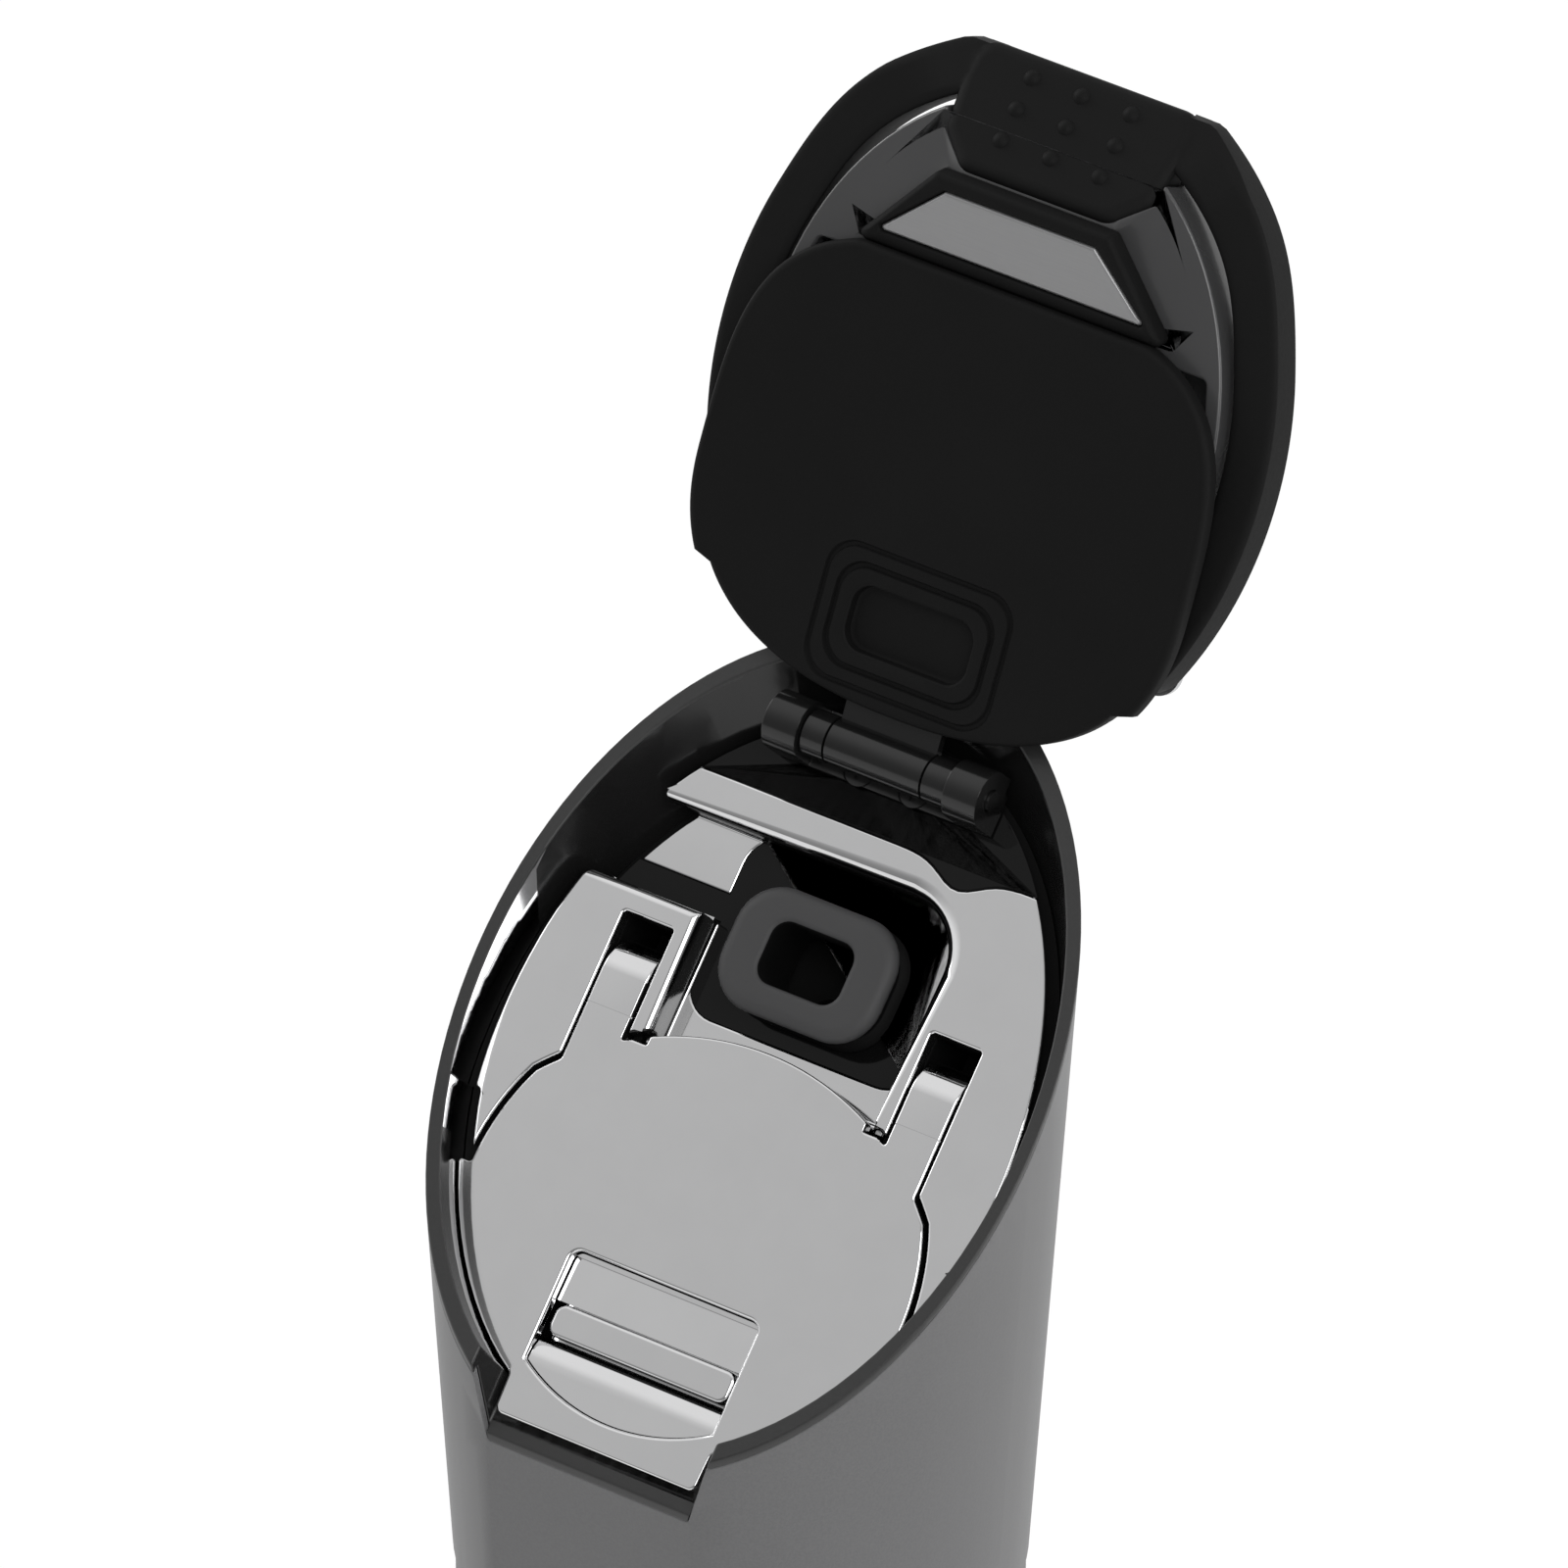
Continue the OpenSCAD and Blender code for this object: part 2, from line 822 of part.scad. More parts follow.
// Room beside each arm, so that the flap's back edge swings clear of the deck between well and slot
module flap_relief() {
    near_x = well_half - clear;
    wide = arm_x - arm_w / 2 - near_x;
    deck_edge = flap_back_y + sqrt(pow(flap_back_r + flap_gap, 2) - pow(near_x + wide, 2));
    r = sqrt(pow(flap_pin_y - deck_edge, 2) + pow(flap_pin_drop, 2)) + 0.15;
    on_deck()
        for (s = [-1, 1])
            translate([s * (near_x + wide / 2), flap_pin_y, -flap_pin_drop])
                rotate([0, 90, 0])
                    cylinder(r = r, h = wide, center = true);
}

// Hinge arms: a knuckle on the pin and a tail that curls down into the slot
module flap_arms() {
    curl = [arm_end - arm_curl, -arm_curl];
    on_deck()
        for (s = [-1, 1])
            translate([s * arm_x - arm_w / 2, 0, 0])
                rotate([90, 0, 90])
                    linear_extrude(arm_w) {
                        translate([flap_pin_y, -flap_pin_drop])
                            circle(flap_pin_drop);
                        translate([flap_pin_y - flap_pin_drop / 2, -flap_t])
                            square([curl[0] - flap_pin_y + flap_pin_drop / 2, flap_t]);
                        polygon(concat(
                            [[flap_pin_y, -arm_wall], [flap_pin_y, 0]],
                            arc(curl, arm_curl, 90, 0),
                            arc(curl, arm_curl - arm_wall, 0, 90)
                        ));
                    }
}

module pull_insert() {
    half = pull_half + 1;
    side_end = pull_near - pull_side_l;
    color("gainsboro")
        union() {
            difference() {
                intersection() {
                    on_deck_from(pull_low, -flap_t - fit)
                        pull_outline(0.9);
                    on_deck()
                        translate([-far, -far, pull_low])
                            cube(2 * far);
                }
                on_deck_from(pull_low + 1, far)
                    pull_outline(-0.3);
            }
            intersection() {
                on_deck_from(pull_low, far)
                    pull_outline(-0.15);
                on_deck()
                    translate([-half, 0, 0])
                        rotate([90, 0, 90])
                            linear_extrude(2 * half)
                                polygon(concat(
                                    [[pull_near + 1, pull_low], [pull_near + 1, -2.2], [pull_near - 0.4, -2.2],
                                        [pull_near - 6, -1.5]],
                                    arc([pull_near - 7.2, -1.7], 1, 60, 90, 3),
                                    arc([pull_near - 9.6, -1.7], 1, 90, 180, 5),
                                    [[pull_near - 10.8, -3.7], [side_end + 0.6, -3.9],
                                        [side_end - pull_bow, -0.5], [side_end - pull_bow - 1, -0.5],
                                        [side_end - pull_bow - 1, pull_low]]
                                ));
            }
        }
}

module flap_gasket() {
    color("black")
        on_deck_from(mouth_rise + clear, -flap_t - fit)
            translate([0, mouth_y])
                difference() {
                    circle(mouth_r + mouth_wall);
                    circle(mouth_r - 0.2);
                }
}

module spout() {
    color("dimgray")
        difference() {
            union() {
                on_deck_from(spout_rise - spout_head_t, spout_rise)
                    translate([0, spout_y])
                        rounded(spout_w, spout_l, 5.4);
                on_deck_from(-well_depth + clear, spout_rise - spout_head_t)
                    translate([0, spout_y])
                        rounded(spout_w - 2 * spout_neck_in, spout_l - 2 * spout_neck_in, 4.6);
                on_deck_from(base_low + 0.1, -well_depth + clear)
                    peg_hole(0);
            }
            on_deck_from(-far, far)
                translate([0, spout_y])
                    rounded(sip_w, sip_l, 2);
        }
}

module straw() {
    color("whitesmoke")
        translate([0, nipple_y, straw_low])
            difference() {
                cylinder(r = straw_r, h = straw_top - straw_low);
                translate([0, 0, -1])
                    cylinder(r = straw_r - straw_wall, h = straw_top - straw_low + 2);
            }
}

module on_lid() {
    on_deck()
        translate([0, hinge_y, hinge_n])
            rotate([lid_lean - slant, 0, 0])
                children();
}

module on_lid_from(low, high) {
    on_lid()
        translate([0, 0, low])
            linear_extrude(high - low)
                children();
}

// Seal outline: round at the hinge, square-shouldered and cut straight at the tip
module seal_outline(gap) {
    half = seal_half + gap;
    back = seal_back + gap;
    front = seal_front + gap;
    intersection() {
        polygon([for (i = [0 : 71])
            let (a = i * 5, c = cos(a), s = sin(a), p = s > 0 ? 3.4 : 2.4)
                [half * sign(c) * pow(abs(c), 2 / p), seal_mid + (s > 0 ? front : back) * sign(s) * pow(abs(s), 2 / p)]
        ]);
        translate([-far, -far])
            square([2 * far, far + seal_end + gap]);
    }
}

module lid_screw_places() {
    for (x = [-lid_screw_x, lid_screw_x], y = [lid_screw_near, lid_screw_far])
        translate([x, y])
            children();
}

module rivet_places() {
    for (s = [-1, 1])
        translate([s * loop_half * (1 + loop_bore) / 2 * sqrt(1 - pow((rivet_y - loop_mid) / (loop_long * (1 + loop_bore) / 2), 2)), rivet_y])
            children();
}

module lid_frame() {
    color("black")
        difference() {
            union() {
                on_lid_from(frame_low, frame_top)
                    seal_outline(-seal_step - 0.2);
                on_lid_from(frame_low, frame_top)
                    translate([-knuckle_half, 0])
                        square([2 * knuckle_half, knuckle_l]);
                on_lid()
                    rotate([0, 90, 0])
                        cylinder(r = barrel_r, h = 2 * knuckle_half, center = true);
                on_lid_from(loop_top + (loop_mid - rivet_y - 3) * tan(loop_tilt) + 3 * fit, frame_low + 0.4)
                    rivet_places()
                        circle(3);
            }
            on_lid()
                rotate([0, 90, 0])
                    cylinder(r = hinge_pin_r + fit, h = far, center = true);
            on_lid_from(frame_top - 0.7, far)
                lid_screw_places()
                    circle(2.2 + fit);
            on_lid_from(-far, far)
                lid_screw_places()
                    circle(1 + fit);
            on_lid_from(-far, far)
                rivet_places()
                    circle(rivet_r + fit);
        }
}

// Trapezoid of the catch, in its own tilted plane
module on_catch(low, high) {
    on_lid()
        translate([0, catch_y, catch_u])
            rotate([catch_tilt, 0, 0])
                translate([0, 0, low])
                    linear_extrude(high - low)
                        children();
}

module catch_outline(gap) {
    narrow = catch_half * catch_ratio;
    polygon([[-catch_half - 1.5 * gap, -gap], [catch_half + 1.5 * gap, -gap],
        [narrow + 0.7 * gap, catch_l + gap], [-narrow - 0.7 * gap, catch_l + gap]]);
}

// Oval round the lid's middle, cut off before the hinge
module lid_oval(half, long, start) {
    intersection() {
        polygon([for (i = [0 : 95]) [half * cos(i * 3.75), loop_mid + long * sin(i * 3.75)]]);
        translate([-far, start])
            square(2 * far);
    }
}

module lid_shell() {
    roof = frame_low - lid_h;
    color("gray")
        difference() {
            union() {
                on_lid_from(roof + 1.2, frame_low - fit)
                    lid_oval(lid_half, lid_long, lid_start);
                on_lid_from(roof, roof + 1.3)
                    lid_oval(lid_half - 1.2, lid_long - 1.2, lid_start + 1.2);
                hull() {
                    on_lid_from(frame_low - 1.2, frame_low - 0.6)
                        lid_oval(lid_half - 0.6, lid_long - 0.6, seal_end + 0.4);
                    on_catch(-2.6, -2.2 - 3 * fit)
                        catch_outline(catch_rim - 0.4);
                }
            }
            difference() {
                on_lid_from(roof + lid_wall, far)
                    lid_oval(lid_half - lid_wall, lid_long - lid_wall, lid_start + lid_wall);
                on_lid_from(-far, far)
                    lid_screw_places()
                        circle(2.6);
                on_lid_from(-far, far)
                    translate([-far, seal_end - lid_wall])
                        square(2 * far);
            }
            on_lid_from(-6, far)
                lid_screw_places()
                    circle(1 + fit);
            tab_block(0.15, 12);
            on_catch(-2.2 - fit, far)
                catch_outline(catch_rim + fit);
        }
}

module lid_seal() {
    color("black")
        difference() {
            on_lid_from(frame_top, seal_top) {
                seal_outline(-seal_step);
                intersection() {
                    seal_outline(0);
                    translate([-far, seal_step_y])
                        square(2 * far);
                }
            }
            on_catch(-2.2 - 2 * fit, far)
                catch_outline(catch_rim + 2 * fit);
            on_lid_from(seal_top - 1.4, far)
                translate([0, plug_y])
                    rounded(plug_w, plug_l, 2.4);
            for (ring = [[3.4, 1.4], [7.4, 1.2]])
                on_lid_from(seal_top - 0.6, far)
                    translate([0, plug_y + 0.06 * ring[0]])
                        difference() {
                            rounded(plug_w + ring[0] + ring[1], plug_l + ring[0] + ring[1], 3.6);
                            rounded(plug_w + ring[0], plug_l + ring[0], 3.2);
                        }
        }
}

module catch_plate() {
    color("silver")
        on_catch(-0.9, 0)
            catch_outline(0);
}

module catch_frame() {
    color("black")
        difference() {
            on_catch(-2.2, 0.1)
                catch_outline(catch_rim);
            on_catch(-0.9, far)
                catch_outline(fit);
        }
}

module tab_outline(gap) {
    shoulder_half = 0.944 * tab_half;
    polygon([[-tab_narrow - gap, -gap], [tab_narrow + gap, -gap], [shoulder_half + gap, tab_shoulder],
        [tab_half + gap, tab_wide_from], [tab_half + gap, tab_l + gap], [-tab_half - gap, tab_l + gap],
        [-tab_half - gap, tab_wide_from], [-shoulder_half - gap, tab_shoulder]]);
}

module tab_block(gap, above = 0) {
    on_lid()
        translate([0, tab_y, tab_u])
            rotate([-tab_tilt, 0, 0])
                translate([0, 0, -tab_t - gap])
                    linear_extrude(tab_t + gap + above)
                        tab_outline(gap);
}

module on_loop(low, high) {
    on_lid()
        translate([0, loop_mid, loop_top])
            rotate([-loop_tilt, 0, 0])
                translate([0, -loop_mid, low])
                    linear_extrude(high - low)
                        children();
}

module carry_loop() {
    color("black")
        difference() {
            union() {
                difference() {
                    on_loop(-loop_h, 0)
                        difference() {
                            lid_oval(loop_half, loop_long, loop_start);
                            lid_oval(loop_half * loop_bore, loop_long * loop_bore, -far);
                            translate([-tab_half + 0.5, tab_y])
                                square([2 * tab_half - 1, far]);
                        }
                    on_lid()
                        translate([0, tab_y, tab_u])
                            rotate([-tab_tilt, 0, 0])
                                translate([-far, 0, -0.3])
                                    cube([2 * far, far, far]);
                }
                tab_block(0);
                on_lid()
                    translate([0, tab_y, tab_u])
                        rotate([-tab_tilt, 0, 0])
                            for (x = [-1 : 1], y = [0 : 2])
                                translate([x * 6.4, 4 + y * 3.9, -0.3])
                                    sphere(bump_r, $fn = 32);
            }
            on_lid_from(-far, far)
                rivet_places()
                    circle(rivet_r + fit);
        }
}

module loop_rivets() {
    low = loop_top - loop_h + (loop_mid - rivet_y) * tan(loop_tilt) - 0.2;
    color("silver")
        on_lid()
            rivet_places() {
                translate([0, 0, low - 0.8])
                    cylinder(r = 2.8, h = 0.8);
                translate([0, 0, low - 0.4])
                    cylinder(r = rivet_r, h = frame_top - fit - low + 0.4);
            }
}

module lid_screws() {
    color("silver")
        on_lid()
            lid_screw_places()
                translate([0, 0, frame_top - 0.7])
                    rotate([180, 0, 0])
                        screw(2.2, 0.6, 1, 4.5);
}

bottle_shell();
bottle_liner();
base_plate();
foot_pad();
neck_gasket();
head_shell();
head_housing();
screw_collar();
drink_base();
deck();
flap_pins();
hinge_bracket();
lid_hinge_pin();
hinge_bushes();
hinge_screws();
deck_screws();
vent_valve();
flap();
pull_insert();
flap_gasket();
spout();
straw();
lid_frame();
lid_shell();
lid_seal();
catch_plate();
catch_frame();
carry_loop();
loop_rivets();
lid_screws();
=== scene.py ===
"""Looks of a drinking bottle with a slanted flip-lid head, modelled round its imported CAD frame."""

import json
import math

import bmesh
import bpy
from bpy.props import FloatProperty, FloatVectorProperty, IntProperty, PointerProperty
from mathutils import Matrix, Vector

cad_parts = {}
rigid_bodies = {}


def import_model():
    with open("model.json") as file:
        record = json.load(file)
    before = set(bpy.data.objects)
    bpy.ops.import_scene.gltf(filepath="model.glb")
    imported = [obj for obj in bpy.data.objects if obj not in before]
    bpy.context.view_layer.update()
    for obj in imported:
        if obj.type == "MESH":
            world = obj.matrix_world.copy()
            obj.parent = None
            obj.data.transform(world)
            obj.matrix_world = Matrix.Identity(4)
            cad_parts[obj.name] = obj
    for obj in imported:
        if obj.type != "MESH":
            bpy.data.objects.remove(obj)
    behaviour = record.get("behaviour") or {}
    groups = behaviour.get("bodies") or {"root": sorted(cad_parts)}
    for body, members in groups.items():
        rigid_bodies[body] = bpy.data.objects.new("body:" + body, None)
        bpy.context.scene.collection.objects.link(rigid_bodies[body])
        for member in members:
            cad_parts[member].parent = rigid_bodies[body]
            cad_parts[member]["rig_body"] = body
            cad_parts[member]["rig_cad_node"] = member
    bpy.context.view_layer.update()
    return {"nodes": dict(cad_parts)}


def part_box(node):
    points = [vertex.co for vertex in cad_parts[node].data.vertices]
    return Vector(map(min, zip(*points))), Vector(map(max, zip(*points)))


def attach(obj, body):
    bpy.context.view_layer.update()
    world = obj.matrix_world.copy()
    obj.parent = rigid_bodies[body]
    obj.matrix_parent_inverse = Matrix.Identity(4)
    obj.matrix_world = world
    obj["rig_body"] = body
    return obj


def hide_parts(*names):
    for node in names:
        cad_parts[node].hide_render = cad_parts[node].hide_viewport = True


bl_info = {
    "name": "Flip-lid bottle looks",
    "version": (1, 0, 0),
    "blender": (4, 5, 0),
    "location": "View3D > Sidebar > Bottle",
    "description": "Models and finishes the visible pieces of a slanted flip-lid drinking bottle",
    "category": "Object",
}

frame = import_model()

MM = 0.001

# What counts as one point (metres), sharp (degrees), flat and folded (radians), and near (millimetres)
SAME_POINT = 0.000002
SHARP = 35
FLAT_ANGLE = math.radians(0.6)
IN_PLANE = 0.005
FOLD = 0.2
LEVEL_WITHIN = 0.02
NEAR = 0.05

# The deck's and the lid's own frames, as the CAD source sets them out
RIM_Z = 226.0
SLANT = 42.4
DECK_DEPTH = 4.7
DECK_Z = RIM_Z - DECK_DEPTH / math.cos(math.radians(SLANT))
HINGE_Y = 42.0
HINGE_N = 3.9
LID_LEAN = 62.4
WELL_HALF = 14.6
WELL_FAR = 29.6
CHANNEL_NEAR = 19.3
ARM_X = 20.25
SPOUT_Y = 18.1
PLATED_TOP = 2.0
FLAP_POCKET = -14.0
PLATED_END = 19.0
PULL_HALF = 12.3
PULL_FAR = -20.6
PULL_SIDE_END = -33.9
PULL_FRONT = -37.4
DECK = Matrix.Translation((0, 0, DECK_Z * MM)) @ Matrix.Rotation(math.radians(SLANT), 4, "X")
LID = (
    DECK
    @ Matrix.Translation((0, HINGE_Y * MM, HINGE_N * MM))
    @ Matrix.Rotation(math.radians(LID_LEAN - SLANT), 4, "X")
)

# The foot's grip ridges: the flat edge outside them and one ridge's profile
FOOT_SIDES = 96
FOOT_MARGIN = 2.6
FOOT_MIDDLE = 6.0
RIDGE = ((0.0, 0.0), (0.4, 0.5), (1.6, 0.5), (2.0, 0.0))

# The housing's lip, and the deck's well, its strip of painted dark reflection and its floors painted
# dark
LIP_THICK = 0.3
WALL_TILT = 0.25
WELL_CORNER = 7.0
WELL_SIDE_START = 12.0
POST_ROUND = 1.1
POST_TIP_X = 15.4
POST_TIP_END = 5.5
REFLECTION_EDGE = 34.3
REFLECTION_DROP = 0.25
REFLECTION_HEIGHTS = (-9.0, 6.0)
DIP_X = 12.6
DIP_DEPTH = 2.4
DIP_WIDE = 3.6
FLOOR_HEIGHTS = (-9.0, -3.9)

# The flap's gap, creases and pull
GAP_CLOSED = 0.25
TONGUE_HALF = 13.4
PULL_CORNER = 1.3
PULL_EDGE = 0.4
PULL_PLAY = 0.15
PULL_REACH = 0.2
FLAP_EDGE = 0.3
CREASE = (6.4, 0.2, 0.6)
CREASE_Y = 5.4

# The sipping hole's half sizes, with a little to spare, for the painted shade inside it
HOLE_HALF_X = 5.4
HOLE_HALF_Y = 3.8

# The seal, the catch and the carry loop, each in its own frame
SEAL_HALF = 31.4
SEAL_MID = 27.0
SEAL_BACK = 23.4
SEAL_FRONT = 29.0
SEAL_END = 54.4
SEAL_STEP = 1.4
SEAL_STEP_Y = 14.8
SEAL_FRONT_POWER = 3.4
SEAL_BACK_POWER = 2.4
PLUG = (0.0, 14.6)
CATCH_HALF = 17.4
CATCH_LONG = 6.9
CATCH = [(-CATCH_HALF, 0.0), (CATCH_HALF, 0.0), (9.7, CATCH_LONG), (-9.7, CATCH_LONG)]
SURROUND_WIDE = 2.85
SURROUND_LONG = 3.8
CATCH_FRAME = (
    LID
    @ Matrix.Translation((0, 56.1 * MM, 1.3 * MM))
    @ Matrix.Rotation(math.radians(12), 4, "X")
)
LOOP_MID = 41.3
LOOP_HALF = 34.8
LOOP_LONG = 41.9
LOOP_BORE = 0.847
LOOP_H = 5.0
ARM_END = 37.4
ARM_STEPS = 64
ARM_START = -38
ARM_SWEEP = 107
ARM_TAPER = (0.35, 0.75, 0.93)
ARM_CORNER = 0.42
ARM_BULGE = 0.9
ARM_DROP = 0.5
SLOPE_START = 20
SLOPE_TOP = 14.9
SLOPE = 0.467
LOOP_FRAME = (
    LID
    @ Matrix.Translation((0, LOOP_MID * MM, -1.9 * MM))
    @ Matrix.Rotation(math.radians(-1.2), 4, "X")
)
TAB = [
    (-9.5, -0.6),
    (9.5, -0.6),
    (13.6, 3.4),
    (14.4, 10.0),
    (14.4, 14.6),
    (-14.4, 14.6),
    (-14.4, 10.0),
    (-13.6, 3.4),
]
TAB_FRAME = (
    LID
    @ Matrix.Translation((0, 66 * MM, 0.6 * MM))
    @ Matrix.Rotation(math.radians(-26), 4, "X")
)
BUMP_R = 1.25
BUMP_SUNK = 0.15
BUMPS_X = (-6.4, 0.0, 6.4)
BUMPS_Y = (4.0, 7.9, 11.8)

# The stage, and the camera that was fitted to the photo, whose focal length is in its pixels
FLOOR_SIZE = 12
FLOOR_GLOW = 1.08
GLOW_SHARE = 0.82
ROOM_LIGHT = 0.4
BACKDROP_WAY = (-0.54, 0.84, 0.0)
BACKDROP_LOW = 0.28
LAMPS = (
    ("key", (0.66, -0.60, 1.12), 0.9, 9),
    ("left", (-1.2, 0.1, 0.75), 0.7, 5),
    ("right", (1.15, 0.35, 0.45), 0.7, 5),
)
LAMP_AIM = Vector((0, 0, 0.22))
PHOTO_SIDE = 1600
SENSOR = 36
CAMERA_TURNS = (32.8117, 36.8623, 0.2833)
CAMERA_PLACE = Vector((916.673, -1413.622, 1302.520 + RIM_Z)) * MM
CAMERA_FOCAL = 19742.38


class Value:
    """A shader socket that takes part in Python expressions."""

    def __init__(self, finish, socket):
        self.finish = finish
        self.socket = socket

    def _math(self, operation, first, second):
        node = self.finish.node("ShaderNodeMath", {"operation": operation}, {0: first, 1: second})
        return Value(self.finish, node.outputs[0])

    def __add__(self, other):
        return self._math("ADD", self, other)

    def __radd__(self, other):
        return self._math("ADD", other, self)

    def __mul__(self, other):
        return self._math("MULTIPLY", self, other)

    def __rmul__(self, other):
        return self._math("MULTIPLY", other, self)

    def between(self, low, high):
        """0 below low, 1 above high and a smooth rise between them."""
        node = self.finish.node(
            "ShaderNodeMapRange",
            {"interpolation_type": "SMOOTHSTEP"},
            {"Value": self, "From Min": low, "From Max": high},
        )
        return Value(self.finish, node.outputs["Result"])


class Nodes:
    """A node tree that starts empty and takes nodes one at a time."""

    def __init__(self, owner):
        owner.use_nodes = True
        self.tree = owner.node_tree
        self.tree.nodes.clear()

    def node(self, kind, settings, sockets):
        """Adds a node: its settings come first, then the values or links of its sockets."""
        made = self.tree.nodes.new(kind)
        for name, value in settings.items():
            setattr(made, name, value)
        for key, value in sockets.items():
            self.feed(made.inputs[key], value)
        return made

    def feed(self, socket, value):
        """Links a socket, or sets its value."""
        if isinstance(value, Value):
            self.tree.links.new(value.socket, socket)
        elif isinstance(value, bpy.types.NodeSocket):
            self.tree.links.new(value, socket)
        else:
            socket.default_value = value

    def larger(self, first, second):
        """The larger of two values."""
        node = self.node("ShaderNodeMath", {"operation": "MAXIMUM"}, {0: first, 1: second})
        return Value(self, node.outputs[0])

    def shown_rays(self):
        """1 for the rays that show the background: from the camera, or in gloss and glass."""
        path = self.node("ShaderNodeLightPath", {}, {}).outputs
        sharp = self.larger(path["Is Glossy Ray"], path["Is Transmission Ray"])
        return self.larger(path["Is Camera Ray"], sharp)


class Finish(Nodes):
    """A node material on Object coordinates, with one Principled shader."""

    def __init__(self, name, **fixed):
        self.material = bpy.data.materials.new(name)
        super().__init__(self.material)
        self.shader = self.node("ShaderNodeBsdfPrincipled", {}, {})
        self.node("ShaderNodeOutputMaterial", {}, {"Surface": self.shader.outputs[0]})
        self.place = self.node("ShaderNodeTexCoord", {}, {}).outputs["Object"]
        for socket, value in fixed.items():
            self.shader.inputs[socket.replace("_", " ")].default_value = value

    def mapped(self, scale):
        """Object coordinates stretched by a scale for each axis."""
        node = self.node("ShaderNodeMapping", {}, {"Vector": self.place, "Scale": scale})
        return node.outputs["Vector"]

    def noise(self, scale, detail=2.0, roughness=0.5, place=None):
        """A noise value from 0 to 1."""
        node = self.node(
            "ShaderNodeTexNoise",
            {},
            {"Vector": place or self.place, "Scale": scale, "Detail": detail, "Roughness": roughness},
        )
        return Value(self, node.outputs["Fac"])

    def mix(self, factor, low, high):
        """A colour between two colours."""
        node = self.node(
            "ShaderNodeMix", {"data_type": "RGBA"}, {"Factor": factor, 6: grey(low), 7: grey(high)}
        )
        return node.outputs[2]

    def paint(self, **sockets):
        """Feeds the shader's sockets, named with underscores."""
        for socket, value in sockets.items():
            self.feed(self.shader.inputs[socket.replace("_", " ")], value)

    def bump(self, height, distance, strength):
        """Roughens the shading by a height."""
        node = self.node(
            "ShaderNodeBump", {}, {"Height": height, "Distance": distance, "Strength": strength}
        )
        self.tree.links.new(node.outputs["Normal"], self.shader.inputs["Normal"])


def grey(value):
    """A neutral colour, or the colour itself, with its alpha."""
    if isinstance(value, (int, float)):
        return (value, value, value, 1.0)
    return (*value, 1.0)


def shades(base, low, high):
    """A darker and a lighter shade of a colour."""
    return [c * low for c in base], [c * high for c in base]


def satin_paint(look):
    """Powder coat: fine speckle over a satin grey, with a slight orange-peel surface."""
    base = look.paint_grey
    made = Finish("satin_paint", Specular_IOR_Level=0.6)
    speckle = made.noise(3200, 3.0, 0.7)
    cloud = made.noise(45, 3.0)
    shade = 0.55 * speckle.between(0.32, 0.68) + 0.45 * cloud
    made.paint(Base_Color=made.mix(shade, *shades(base, 0.86, 1.14)))
    made.paint(Roughness=0.38 + 0.14 * speckle)
    made.bump(0.7 * speckle + 0.3 * made.noise(900, 2.0), 0.00004, 0.5)
    return made


def bright_plating(look):
    """Mirror plating with a faint haze and polishing marks."""
    base = look.plating_grey
    made = Finish("bright_plating", Metallic=1.0)
    haze = made.noise(160, 4.0, 0.6)
    marks = made.noise(1.0, 3.0, 0.6, made.mapped((3500, 180, 180)))
    made.paint(Base_Color=made.mix(haze, *shades(base, 0.96, 1.03)))
    made.paint(Roughness=0.045 + 0.035 * haze + 0.02 * marks)
    return made


def rim_plastic(look):
    """Dark satin moulding of the rim's lip."""
    made = Finish("rim_plastic", Specular_IOR_Level=0.5)
    grain = made.noise(2600, 2.0)
    made.paint(Base_Color=made.mix(grain, look.rim_grey * 0.85, look.rim_grey * 1.15))
    made.paint(Roughness=0.34 + 0.1 * grain)
    made.bump(grain, 0.00002, 0.4)
    return made


def gloss_black(look):
    """Glossy black moulding with faint flow marks, also laid on the plated deck, flap and pull as
    painted shade in their gaps and recesses.
    """
    made = Finish("gloss_black", Specular_IOR_Level=0.45)
    flow = made.noise(30, 3.0)
    made.paint(Base_Color=made.mix(flow, 0.006, 0.010))
    made.paint(Roughness=0.14 + 0.08 * flow)
    return made


def painted_reflection_black(look):
    """Painted dark reflection for the plated deck: behind the well, where the deck mirrors the hinge
    and lid, and on the well's and channel's floors, where they mirror the spout and lie in shade.
    """
    made = Finish("painted_reflection_black", Specular_IOR_Level=0.2)
    flow = made.noise(30, 3.0)
    made.paint(Base_Color=made.mix(flow, 0.003, 0.005))
    made.paint(Roughness=0.05 + 0.04 * flow)
    return made


def lid_gloss(look):
    """Dark grey lacquer of the lid's shell."""
    made = Finish("lid_gloss", Specular_IOR_Level=0.5, Coat_Roughness=0.08)
    flow = made.noise(40, 3.0)
    base = look.lid_grey
    made.paint(Base_Color=made.mix(flow, *shades(base, 0.88, 1.12)))
    made.paint(Roughness=0.22 + 0.06 * flow, Coat_Weight=0.2 + 0.1 * flow)
    return made


def soft_black(look):
    """Black silicone of the seal: matte, with a fine grain; also the painted shade inside the spout's
    hole and down its neck.
    """
    made = Finish("soft_black", Specular_IOR_Level=0.12)
    grain = made.noise(2200, 3.0, 0.6)
    cloud = made.noise(60, 3.0)
    made.paint(Base_Color=made.mix(0.4 * grain + 0.6 * cloud, 0.002, 0.006))
    made.paint(Roughness=0.62 + 0.12 * grain)
    made.bump(grain, 0.00003, 0.5)
    return made


